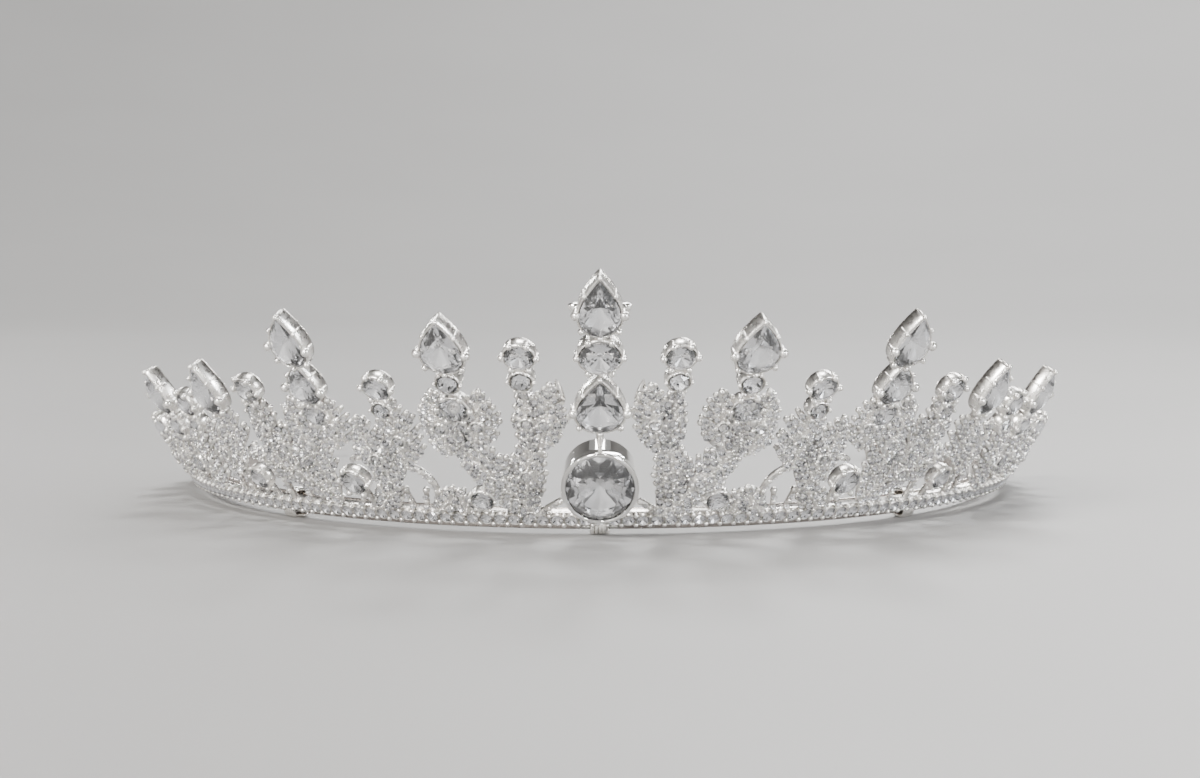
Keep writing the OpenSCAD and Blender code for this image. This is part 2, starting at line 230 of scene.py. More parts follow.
@dataclass(frozen=True)
class FloorFinish:
    """The pale, matt and faintly cloudy grey of the floor."""

    name: str = "pale_floor"
    low: Colour = (0.27, 0.267, 0.264)
    high: Colour = (0.3, 0.297, 0.294)
    grain: float = 9.0
    roughness: float = 0.55

    def build(self) -> Material:
        """Builds the node material and returns it."""
        tree = ShaderTree(self.name)
        tone = tree.blend(tree.cloud(self.grain), self.low, self.high)
        tree.fill(tree.shader, {"Roughness": self.roughness, "Base Color": tone})
        return tree.material


@dataclass
class Finishes:
    """The finished materials, made once and shared by the pieces."""

    plated: Material = field(init=False)
    polished: Material = field(init=False)
    band: Material = field(init=False)
    wire: Material = field(init=False)
    crystal: Material = field(init=False)
    foil: Material = field(init=False)

    def __post_init__(self) -> None:
        """Builds every finish."""
        # The plated metal's near-black dull tone is the painted shade of its hollows and lower flanks, and
        # also the tone of its worn patches
        self.plated = MetalFinish(
            "cast_silver_plate", (0.97, 0.945, 0.91), (0.06, 0.05, 0.04), (0.2, 0.4), 1500, 3e-5, 0.95
        ).build()
        self.polished = MetalFinish(
            "polished_silver_plate", (0.95, 0.94, 0.92), (0.6, 0.57, 0.54), (0.05, 0.14), 500, 6e-6
        ).build()
        # The band's plate is painted darker than silver to stand for the dark reflection that the band shows;
        # its patches are wear
        self.band = MetalFinish(
            "worn_band_plate", (0.5, 0.46, 0.43), (0.2, 0.17, 0.15), (0.14, 0.3), 700, 1e-5
        ).build()
        self.wire = MetalFinish(
            "bright_wire", (0.93, 0.91, 0.87), (0.55, 0.5, 0.45), (0.1, 0.22), 1200, 1e-5
        ).build()
        self.foil = MetalFinish(
            "foiled_back", (0.97, 0.97, 0.98), (0.75, 0.76, 0.8), (0.04, 0.12), 600, 3e-6
        ).build()
        self.crystal = GlassFinish().build()


# Mesh making


def unit(v: Array) -> Array:
    """Returns the vectors in v, each with a length of one."""
    return v / np.linalg.norm(v, axis=-1, keepdims=True)


def turns_round(count: int) -> Array:
    """Returns that many even turns round a circle, in radians."""
    return np.radians(np.arange(count) * 360 / count)


def squared(q: Array, power: float) -> Array:
    """Returns the points of a rounded square of half width one.

    Args:
        q: Their turns, in radians.
        power: How square it is, from 2 for a circle.

    Returns:
        The points, one row each.
    """
    circle = np.stack([np.cos(q), np.sin(q)], -1)
    return circle * (np.abs(circle) ** power).sum(-1, keepdims=True) ** (-1 / power)


def cut_corners(x: float, y: float, cut: float) -> list[tuple[float, float]]:
    """Returns the section of a bar with half widths x and y and its four edges cut."""
    corner = ((x, y - cut), (x - cut, y), (cut - x, y), (-x, y - cut))
    return [*corner, *((-a, -b) for a, b in corner)]


def link_object(name: str, data: bpy.types.ID) -> Piece:
    """Makes an object and puts it in the scene.

    Args:
        name: Its name.
        data: Its mesh, light or camera.

    Returns:
        The object.
    """
    made = bpy.data.objects.new(name, data)
    bpy.context.scene.collection.objects.link(made)
    return made


def corners_of(mesh: bpy.types.Mesh) -> Array:
    """Reads the corners of a mesh.

    Args:
        mesh: The mesh.

    Returns:
        The corners, one row each.
    """
    points = np.zeros(len(mesh.vertices) * 3, np.float32)
    mesh.vertices.foreach_get("co", points)
    return points.reshape(-1, 3)


def write_points(mesh: bpy.types.Mesh, name: str, kind: str, values: Array) -> None:
    """Writes an attribute of the points.

    Args:
        mesh: The mesh.
        name: The attribute's name.
        kind: Its data type.
        values: Its values, one or one row for each point.
    """
    key = "vector" if kind == "FLOAT_VECTOR" else "value"
    mesh.attributes.new(name, kind, "POINT").data.foreach_set(key, values.astype(np.float32).ravel())


@dataclass
class MeshParts:
    """Collects corners and faces in millimetres, with the number of the finish of each face."""

    corners: list[Array] = field(default_factory=list)
    faces: list[tuple[int, ...]] = field(default_factory=list)
    marks: list[int] = field(default_factory=list)
    count: int = 0

    def add(self, corners: Array, faces: Iterable[Sequence[int]], mark: int | Sequence[int] = 0) -> None:
        """Adds a shape.

        Args:
            corners: Its corners, one row each.
            faces: Its faces, as numbers of corners.
            mark: The finish of all its faces, or of each.
        """
        faces = [tuple(int(i) + self.count for i in f) for f in faces]
        self.marks += [mark] * len(faces) if isinstance(mark, int) else list(mark)
        self.corners.append(np.asarray(corners, float))
        self.faces += faces
        self.count += len(corners)

    def loft(self, rings: Array, closed: bool = False) -> None:
        """Adds a skin over rings that all have the same number of corners.

        Args:
            rings: Corners, as ring, corner, coordinate.
            closed: Whether the last ring joins the first, instead of both being filled.
        """
        k, m = rings.shape[:2]
        faces: list[tuple[int, ...]] = []
        for i in range(k if closed else k - 1):
            low, high = i * m, (i + 1) % k * m
            faces += [(low + j, low + (j + 1) % m, high + (j + 1) % m, high + j) for j in range(m)]
        if not closed:
            faces += [tuple(range(m - 1, -1, -1)), tuple((k - 1) * m + j for j in range(m))]
        self.add(rings.reshape(-1, 3), faces)

    def make(self, name: str, finishes: Sequence[Material], sharp: float | None = 40.0) -> Piece:
        """Makes the object, with its faces turned outwards.

        Args:
            name: Its name.
            finishes: The materials that the marks count through.
            sharp: The angle past which an edge stays sharp, or None for flat faces.

        Returns:
            The object, in metres, linked to the scene.
        """
        mesh = bpy.data.meshes.new(name)
        mesh.from_pydata((np.concatenate(self.corners) * MM).tolist(), [], self.faces)
        for finish in finishes:
            mesh.materials.append(finish)
        mesh.polygons.foreach_set("material_index", self.marks)
        made = bmesh.new()
        made.from_mesh(mesh)
        bmesh.ops.recalc_face_normals(made, faces=made.faces)
        made.to_mesh(mesh)
        made.free()
        if sharp is not None:
            mesh.shade_smooth()
            mesh.set_sharp_from_angle(angle=math.radians(sharp))
        mesh.update()
        return link_object(name, mesh)


def settle(piece: Piece, nodes: Sequence[str] = ()) -> None:
    """Fixes a finished piece to the body and hides the solids that it stands for.

    Args:
        piece: The piece.
        nodes: The solids that it replaces.
    """
    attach(piece, BODY)
    if nodes:
        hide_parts(*nodes)
    LOG.info("%s: %d faces", piece.name, len(piece.data.polygons))


# Geometry node trees


class NodeTree:
    """A tree of geometry nodes with named inputs, whose result is kept as a plain mesh."""

    def __init__(self, name: str, inputs: dict[str, str]) -> None:
        """Makes the tree with its input and output.

        Args:
            name: The tree's name.
            inputs: The kinds of the inputs after the geometry, by name.
        """
        self.tree = bpy.data.node_groups.new(name, "GeometryNodeTree")
        make = self.tree.interface.new_socket
        make(name="Geometry", in_out="INPUT", socket_type="NodeSocketGeometry")
        self.keys: dict[str, str] = {}
        for key, kind in inputs.items():
            self.keys[key] = make(name=key, in_out="INPUT", socket_type="NodeSocket" + kind).identifier
        make(name="Geometry", in_out="OUTPUT", socket_type="NodeSocketGeometry")
        self.start = self.tree.nodes.new("NodeGroupInput")
        self.end = self.tree.nodes.new("NodeGroupOutput")

    def node(self, kind: str, **links: Socket) -> bpy.types.Node:
        """Adds a node.

        Args:
            kind: The kind of geometry node.
            links: The sockets that its inputs are linked to, by name, with _ for a space.

        Returns:
            The node.
        """
        made = self.tree.nodes.new("GeometryNode" + kind)
        for name, socket in links.items():
            self.tree.links.new(socket, made.inputs[name.replace("_", " ")])
        return made

    def attribute(self, name: str, kind: str) -> Socket:
        """Adds a node that reads an attribute.

        Args:
            name: The attribute's name.
            kind: Its data type.

        Returns:
            The socket of its values.
        """
        made = self.node("InputNamedAttribute")
        made.data_type = kind
        made.inputs["Name"].default_value = name
        return made.outputs["Attribute"]

    def close(self, socket: Socket) -> None:
        """Links the tree's result."""
        self.tree.links.new(socket, self.end.inputs["Geometry"])

    def run(self, source: Piece, **values: object) -> Piece:
        """Runs the tree on an object and keeps the result as its mesh.

        Args:
            source: The object with the points or paths.
            values: The inputs by name, with _ for a space.

        Returns:
            The same object, with the plain mesh and no modifier.
        """
        modifier = source.modifiers.new("made", "NODES")
        modifier.node_group = self.tree
        for name, value in values.items():
            modifier[self.keys[name.replace("_", " ")]] = value
        source.update_tag()
        bpy.context.view_layer.update()
        graph = bpy.context.evaluated_depsgraph_get()
        mesh = bpy.data.meshes.new_from_object(source.evaluated_get(graph))
        source.modifiers.remove(modifier)
        source.data = mesh
        return source


class RepeatTree(NodeTree):
    """Sets a template on points that have a turn and a size."""

    def __init__(self) -> None:
        """Builds the tree."""
        kinds = {"Template": "Object", "Finish": "Material", "Back Finish": "Material", "Scale": "Float"}
        super().__init__("repeat_on_points", kinds)
        start = self.start.outputs
        info = self.node("ObjectInfo", Object=start["Template"])
        info.inputs["As Instance"].default_value = True
        scale = self.tree.nodes.new("ShaderNodeVectorMath")
        scale.operation = "SCALE"
        self.tree.links.new(self.attribute("size", "FLOAT_VECTOR"), scale.inputs[0])
        self.tree.links.new(start["Scale"], scale.inputs["Scale"])
        copies = self.node(
            "InstanceOnPoints",
            Points=start["Geometry"],
            Instance=info.outputs["Geometry"],
            Rotation=self.attribute("turn", "QUATERNION"),
            Scale=scale.outputs["Vector"],
        )
        real = self.node("RealizeInstances", Geometry=copies.outputs["Instances"])
        front = self.node("SetMaterial", Geometry=real.outputs["Geometry"], Material=start["Finish"])
        back = self.node(
            "SetMaterial",
            Geometry=front.outputs["Geometry"],
            Selection=self.attribute("back", "BOOLEAN"),
            Material=start["Back Finish"],
        )
        self.close(back.outputs["Geometry"])


class WireTree(NodeTree):
    """Turns paths into round wires whose thickness follows the attribute "thick"."""

    def __init__(self) -> None:
        """Builds the tree."""
        super().__init__("wires_on_paths", {"Finish": "Material", "Sides": "Int"})
        start = self.start.outputs
        path = self.node("MeshToCurve", Mesh=start["Geometry"])
        ring = self.node("CurvePrimitiveCircle", Resolution=start["Sides"])
        ring.inputs["Radius"].default_value = 1.0
        skin = self.node(
            "CurveToMesh",
            Curve=path.outputs["Curve"],
            Profile_Curve=ring.outputs["Curve"],
            Scale=self.attribute("thick", "FLOAT"),
        )
        skin.inputs["Fill Caps"].default_value = True
        smooth = self.node("SetShadeSmooth", Geometry=skin.outputs["Mesh"])
        real = self.node("RealizeInstances", Geometry=smooth.outputs["Geometry"])
        dressed = self.node("SetMaterial", Geometry=real.outputs["Geometry"], Material=start["Finish"])
        self.close(dressed.outputs["Geometry"])


@dataclass
class Places:
    """Points that a template is set on, each with its axes and size, in millimetres."""

    points: list[Array] = field(default_factory=list)
    turns: list[tuple[float, float, float, float]] = field(default_factory=list)
    sizes: list[tuple[float, float, float]] = field(default_factory=list)

    def add(self, point: Array, x: Array, z: Array, size: float | Sequence[float]) -> None:
        """Adds a point.

        Args:
            point: Its place.
            x: The direction of the template's X.
            z: The direction near which the template's Z comes to lie.
            size: The template's size, or its sizes along X, Y and Z.
        """
        y = unit(np.cross(z, x))
        z = np.cross(unit(x), y)
        turn = Matrix(np.column_stack([unit(x), y, z]).tolist()).to_quaternion()
        self.points.append(np.asarray(point, float))
        self.turns.append(tuple(turn))
        self.sizes.append((size,) * 3 if isinstance(size, (int, float)) else tuple(size))

    def source(self, name: str) -> Piece:
        """Makes the object that holds the points and their attributes.

        Args:
            name: Its name.

        Returns:
            The object.
        """
        mesh = bpy.data.meshes.new(name)
        mesh.from_pydata((np.array(self.points) * MM).tolist(), [], [])
        write_points(mesh, "turn", "QUATERNION", np.array(self.turns))
        write_points(mesh, "size", "FLOAT_VECTOR", np.array(self.sizes))
        return link_object(name, mesh)


@dataclass
class Paths:
    """Paths of wires, each with a thickness at every point, in millimetres."""

    points: list[Array] = field(default_factory=list)
    edges: list[tuple[int, int]] = field(default_factory=list)
    thick: list[float] = field(default_factory=list)

    def add(self, points: Array, thick: float | Array) -> None:
        """Adds a path.

        Args:
            points: Its points.
            thick: The wire's radius, or its radius at each point.
        """
        start, n = len(self.points), len(points)
        self.points += list(points)
        self.thick += list(np.broadcast_to(thick, n))
        self.edges += [(start + i, start + i + 1) for i in range(n - 1)]

    def source(self, name: str) -> Piece:
        """Makes the object that holds the paths.

        Args:
            name: Its name.

        Returns:
            The object.
        """
        mesh = bpy.data.meshes.new(name)
        mesh.from_pydata((np.array(self.points) * MM).tolist(), self.edges, [])
        write_points(mesh, "thick", "FLOAT", np.array(self.thick, np.float32) * MM)
        return link_object(name, mesh)


def join(name: str, pieces: Sequence[Piece]) -> Piece:
    """Joins pieces into the first.

    Args:
        name: The name that it takes.
        pieces: The pieces.

    Returns:
        The first piece, which holds them all.
    """
    with bpy.context.temp_override(active_object=pieces[0], selected_editable_objects=list(pieces)):
        bpy.ops.object.join()
    pieces[0].name = name
    pieces[0].data.name = name
    return pieces[0]


# The wall's own coordinates


@dataclass(frozen=True)
class WallSurface:
    """The leaning wall on which the openwork lies, with the sizes of the solids."""

    shift: float
    rim_radius: float = 70.0
    gap: float = 3.2
    gap_side: float = 0.8
    row_height: float = 3.2
    lean_out: float = 0.51
    lean_front: float = 0.27
    thickness: float = 0.9

    # Rounds in which a point's angle is found
    ROUNDS = 4
    # Painted shade at two depths behind the middle surface
    BACK_SHADE = ((-0.5, 0.08), (-0.2, 0.8))

    def level(self, radius: float | Array, angle: float | Array, z: float) -> Array:
        """Returns points of a level circle round the headband's middle.

        Args:
            radius: The circle's radius, or the radius at each angle.
            angle: The angles, in degrees from the front.
            z: The height above the floor.

        Returns:
            The points, one row each.
        """
        a = np.radians(np.asarray(angle, float))
        return np.stack([radius * np.sin(a), self.shift - radius * np.cos(a), np.full_like(a, z)], -1)

    def foot(self, angle: Array) -> Array:
        """Returns the points of the row of rim stones at the angles, in degrees."""
        radius = self.rim_radius + self.gap + self.gap_side * np.sin(np.radians(angle)) ** 2
        return self.level(radius, angle, self.row_height)

    def axes(self, angle: Array) -> tuple[Array, Array, Array]:
        """Finds the wall's own directions.

        Args:
            angle: The angles, in degrees.

        Returns:
            The directions along the wall, up its slope and out of its face.
        """
        a = np.radians(angle)
        lean = -self.lean_front - self.lean_out * np.cos(a)
        up = unit(np.stack([self.lean_out * np.sin(a), lean, np.ones_like(a)], -1))
        rim = np.stack([np.cos(a), np.sin(a), np.zeros_like(a)], -1)
        along = unit(rim - (rim * up).sum(-1, keepdims=True) * up)
        return along, up, np.cross(along, up)

    def at(self, angle: Array | float, height: Array | float, out: Array | float) -> Array:
        """Finds points by their places on the wall.

        Args:
            angle: The angles, in degrees.
            height: The heights up the slope.
            out: The distances out of the middle surface.

        Returns:
            The points, one row each.
        """
        angle, height, out = np.broadcast_arrays(*(np.asarray(v, float) for v in (angle, height, out)))
        _, up, face = self.axes(angle)
        return self.foot(angle) + height[..., None] * up + out[..., None] * face

    def reach(self, angle: Array, height: Array) -> Array:
        """Returns the distance of the wall's points from the headband's middle."""
        p = self.at(angle, height, 0.0) - np.array([0, self.shift, 0])
        return np.hypot(p[..., 0], p[..., 1])

    def beside(self, angle: float, height: float, flat: Array, out: Array | float) -> Array:
        """Finds points that lie beside a place on the wall.

        Args:
            angle: The place's angle, in degrees.
            height: The place's height.
            flat: Distances along the rim and up the slope, one row each.
            out: The distances out of the middle surface.

        Returns:
            The points, one row each.
        """
        flat = np.asarray(flat, float)
        up = height + flat[..., 1]
        turn = np.degrees(flat[..., 0] / self.reach(np.full_like(up, angle), up))
        return self.at(angle + turn, up, out)

    def flat_frame(self, angle: float, height: float) -> tuple[Array, Array, Array, Array]:
        """Returns the point at an angle and height and the three directions there."""
        a = np.asarray(angle, float)
        return self.at(a, height, 0.0), *self.axes(a)

    def above(self, points: Array) -> Array:
        """Measures how far points lie out of the wall's middle surface.

        Args:
            points: The points, one row each.

        Returns:
            Their distances, which are negative behind it.
        """
        p = points - np.array([0, self.shift, 0])
        angle = np.degrees(np.arctan2(p[:, 0], -p[:, 1]))
        for _ in range(self.ROUNDS):
            along, up, face = self.axes(angle)
            away = points - self.foot(angle)
            height = (away * up).sum(-1)
            angle = angle + np.degrees((away * along).sum(-1) / self.reach(angle, height))
        return (away * face).sum(-1)

    def paint_hollow_shade(self, piece: Piece, high: float) -> None:
        """Writes the attribute of painted shade, which is largest deep in the openwork and nought at its
        face, and takes the lower flanks' painted shade where that is larger.

        Args:
            piece: The joined piece, in metres.
            high: The distance out of the middle surface at which the face starts and the painted shade ends.
        """
        mesh = piece.data
        out = self.above(corners_of(mesh) / MM)
        stops, shares = zip(*self.BACK_SHADE, (high, 0))
        share = np.interp(out, stops, shares).astype(np.float32)
        if "flank" in mesh.attributes:
            flank = np.zeros(len(mesh.vertices), np.float32)
            mesh.attributes["flank"].data.foreach_get("value", flank)
            share = np.where(out > 0, np.maximum(share, flank), share)
        write_points(mesh, "hollow", "FLOAT", share)


# Cut stones


@dataclass(frozen=True)
class Stone:
    """A cut stone on the wall: its name, outline, angle, height, width and length."""

    name: str
    cut: Cut
    angle: float
    height: float
    width: float
    length: float
    lift: float = 0.15

    # Depths of the crown and the back and half the girdle's thickness, as shares of the width
    CROWN = 0.17
    PAVILION = 0.24
    EDGE = 0.015
    # Widths of the table, the stars and the lower facets, as shares of the girdle's
    TABLE = 0.56
    STAR = 0.8
    LOW = 0.4
    # Heights of the stars and the lower facets, as shares of the crown and the back
    STAR_RISE = 0.55
    LOW_DROP = 0.62
    # The largest half width that a pear's curve has before it is scaled
    PEAR = 0.77

    def outline(self, turn: Array, grow: float = 0.0) -> Array:
        """Finds the girdle's points.

        Args:
            turn: Their turns, in degrees from its top.
            grow: How far they are moved outwards.

        Returns:
            Distances along the rim and up the slope, one row each.
        """
        q = np.radians(np.asarray(turn, float))
        x = np.sin(q) * (np.sin(np.mod(q, 2 * np.pi) / 2) / self.PEAR if self.cut is Cut.PEAR else 1)
        flat = np.stack([x * self.width / 2, np.cos(q) * self.length / 2], -1)
        ahead = np.roll(flat, -1, axis=0) - np.roll(flat, 1, axis=0)
        side = unit(np.stack([-ahead[:, 1], ahead[:, 0]], -1))
        return flat + grow * np.where((side * flat).sum(-1, keepdims=True) < 0, -side, side)

    @property
    def girdle(self) -> float:
        """Distance of the girdle out of the wall's middle surface."""
        return WallSurface.thickness / 2 + self.PAVILION * self.width + self.lift

    def brilliant(self, mains: int) -> tuple[Array, list[tuple[int, ...]], list[int]]:
        """Cuts the stone: table, stars, kites, upper facets, girdle, lower facets and pavilion.

        Args:
            mains: The number of main facets.

        Returns:
            Corners round the girdle's middle, faces, and a mark of one on each face of the back.
        """
        step = 180 / mains
        main = np.arange(mains) * 2 * step
        half = main + step
        girdle = np.arange(2 * mains) * step
        w, edge = self.width, self.EDGE * self.width

        def ring(turns: Array, share: float, rise: float) -> Array:
            """Returns the girdle's points at the turns, drawn in to a share of it and raised."""
            flat = self.outline(girdle)[np.rint(turns / step).astype(int) % (2 * mains)] * share
            return np.column_stack([flat, np.full(len(flat), rise)])

        rings = [
            ring(main, self.TABLE, self.CROWN * w),
            ring(half, self.STAR, self.STAR_RISE * self.CROWN * w),
            ring(girdle, 1.0, edge),
            ring(girdle, 1.0, -edge),
            ring(half, self.LOW, -self.LOW_DROP * self.PAVILION * w),
            np.array([[0, 0, -self.PAVILION * w]]),
        ]
        table, star, top, bottom, low, culet = np.cumsum([0] + [len(r) for r in rings])[:6]
        faces: list[tuple[int, ...]] = [tuple(table + i for i in range(mains))[::-1]]
        for i in range(mains):
            j, before = (i + 1) % mains, (i - 1) % mains
            k, mid, ahead = 2 * i, 2 * i + 1, (2 * i + 2) % (2 * mains)
            faces += [
                (table + i, table + j, star + i),
                (table + i, star + i, top + k, star + before),
                (star + i, top + mid, top + k),
                (star + i, top + ahead, top + mid),
            ]
        crown = len(faces)
        for i in range(mains):
            before = (i - 1) % mains
            k, mid, ahead = 2 * i, 2 * i + 1, (2 * i + 2) % (2 * mains)
            faces += [
                (top + k, top + mid, bottom + mid, bottom + k),
                (top + mid, top + ahead, bottom + ahead, bottom + mid),
                (bottom + k, bottom + mid, low + i),
                (bottom + mid, bottom + ahead, low + i),
                (bottom + k, low + i, culet, low + before),
            ]
        return np.concatenate(rings), faces, [0] * crown + [1] * (len(faces) - crown)


STONES = [
    Stone("centre_oval", Cut.OVAL, 0, 9.6, 10.8, 14),
    Stone("centre_pear", Cut.PEAR, 0, 26.2, 7.4, 10.6),
    Stone("centre_round", Cut.ROUND, 0, 36.2, 6.4, 6.4),
    Stone("tip_pear", Cut.PEAR, 0, 46.2, 6.4, 11.2),
]
PAIRED_STONES = [
    Stone("spike_1_round", Cut.ROUND, 8, 35.7, 4.6, 4.6),
    Stone("spike_2_pear", Cut.PEAR, 15.7, 37.8, 6.8, 10),
    Stone("spike_2_round", Cut.ROUND, 15.7, 24.4, 4.6, 4.6),
    Stone("spike_3_round", Cut.ROUND, 24, 28.2, 4.4, 4.4),
    Stone("spike_4_pear", Cut.PEAR, 33, 37.3, 6.2, 9.8),
    Stone("spike_4_low_pear", Cut.PEAR, 33, 28.4, 5.8, 7.8),
    Stone("spike_4_round", Cut.ROUND, 33, 21.7, 4.2, 4.2),
    Stone("spike_5_round", Cut.ROUND, 42, 25.7, 4.4, 4.4),
    Stone("spike_6_pear", Cut.PEAR, 49.5, 24.9, 6.2, 9.6),
    Stone("spike_7_round", Cut.ROUND, 56, 20.5, 4.4, 4.4),
    Stone("spike_8_pear", Cut.PEAR, 62.7, 21.9, 5.8, 8.6),
    Stone("spike_8_round", Cut.ROUND, 62.7, 14.8, 4.2, 4.2),
    Stone("spike_9_round", Cut.ROUND, 71, 13.1, 4.2, 4.2),
    Stone("spike_10_round", Cut.ROUND, 78, 11.1, 4, 4),
    Stone("low_round_1", Cut.ROUND, 14.3, 4.4, 3.6, 3.6),
    Stone("low_round_2", Cut.ROUND, 31, 7.2, 4.6, 4.6),
    Stone("low_round_3", Cut.ROUND, 47.6, 5.6, 3.8, 3.8),
    Stone("low_round_4", Cut.ROUND, 62.7, 6.4, 3.6, 3.6),
]
# Small stones on the spikes of one side: angle, height, diameter
SPIKE_SMALL = [
    (8, 31, 3.4), (15.7, 30.2, 3.6), (24, 23.8, 3), (42, 21.4, 2.8), (56, 16.4, 2.6), (85, 8.2, 3),
    (90.5, 5.4, 2.4),
]
# Leaf sprays of one side: angle, height, turn, length, half width, bend, step out
SPRAYS = [
    (9, 3, -4, 16, 2.9, -8, 0), (6.8, 15.4, -14, 14.6, 3.3, 8, 0.4), (7.8, 16, 2, 12.6, 2.3, -4, 0),
    (7.4, 1.2, 38, 21.5, 3.9, -2, 0.3), (14.2, 15, -12, 13, 3.3, 4, 0), (17, 14.5, 10, 13.5, 3.4, -8, 0.4),
    (16.4, 1.2, 12, 5, 1.8, 0, 0), (20.4, 1.2, -46, 6.6, 2, 30, 0), (22.9, 10.5, 2, 14.5, 3.8, 2, 0),
    (25, 6, 20, 16, 3.6, -10, 0.2), (28.4, 1.2, -30, 7, 2.2, -20, 0), (31.6, 14.4, -10, 10.5, 3.2, 6, 0.3),
    (35.2, 6.5, 6, 18, 3.5, -2, 0), (33.6, 3.2, 48, 20, 3.8, 34, 0.4), (38, 9, 26, 12, 3.5, 8, 0),
    (41.8, 12, -2, 13, 3.5, 2, 0.3), (49, 9, -4, 12, 3.7, 4, 0.3), (51.4, 5.4, 20, 12, 3.4, -14, 0),
    (59, 1.2, -8, 15.5, 3.4, 2, 0.3), (63.6, 3.5, 40, 12, 3.3, -30, 0.3), (71.4, 1.2, 0, 10.4, 3.4, -2, 0),
    (78.4, 1.2, 0, 8.8, 3.2, -2, 0.2), (84.6, 1.2, 2, 8, 2.9, -2, 0), (90.2, 1.2, 2, 5.6, 2.6, -2, 0.2),
]
# Bare stems of one side: angle and height of the foot, then of the top
STEMS = [
    (7.2, 1.2, 4.8, 3.6), (8, 26, 8, 34), (15.7, 21, 15.7, 35), (15.2, 1.2, 14.3, 4.4), (29.4, 1.2, 31, 6),
    (32.4, 16, 33, 34), (24, 21, 24, 26), (42, 17, 42, 25), (38, 1.2, 37.4, 8), (43.4, 1.2, 43.8, 9),
    (46.6, 1.2, 47.4, 5), (49.5, 17, 49.5, 23), (51.8, 1.2, 51.4, 7), (57.6, 8, 56, 19.6),
    (62.7, 1.2, 62.7, 19), (71, 8, 71, 12), (78, 7, 78, 10),
]
# Short bars just above the rim of one side: angle and height of the foot, then of the top
BARS = [
    (0, 1.2, 0, 3), (11.2, 1.2, 11, 3.4), (18.2, 1.2, 17.6, 4), (22.2, 1.2, 21.8, 5), (23.9, 1.2, 24.6, 5),
    (26.2, 1.2, 25.2, 4.4), (31.8, 1.2, 30.4, 4), (35.2, 1.2, 34.6, 4.4), (40.4, 1.2, 39.6, 5),
    (54.2, 1.2, 53.4, 7), (66.4, 1.2, 65.6, 5), (74.9, 1.2, 74.9, 4), (81.5, 1.2, 81.5, 3.6),
    (87.6, 1.2, 87.6, 3),
]
# Scrolls of one side, bent round a point: angle, height, radius, first and last turn
SCROLLS = [(24.4, 5.2, 5.6, -128, 70), (29, 8, 4, -80, 40), (47.6, 5.6, 4.6, -90, 90)]
# Plain drop-shaped tips of one side: angle, height, turn, length
DROPS = [(4.2, 25, 6, 5), (2.1, 44.4, 60, 1.7), (12.6, 21, -14, 5), (37.4, 17.6, 20, 4.6)]


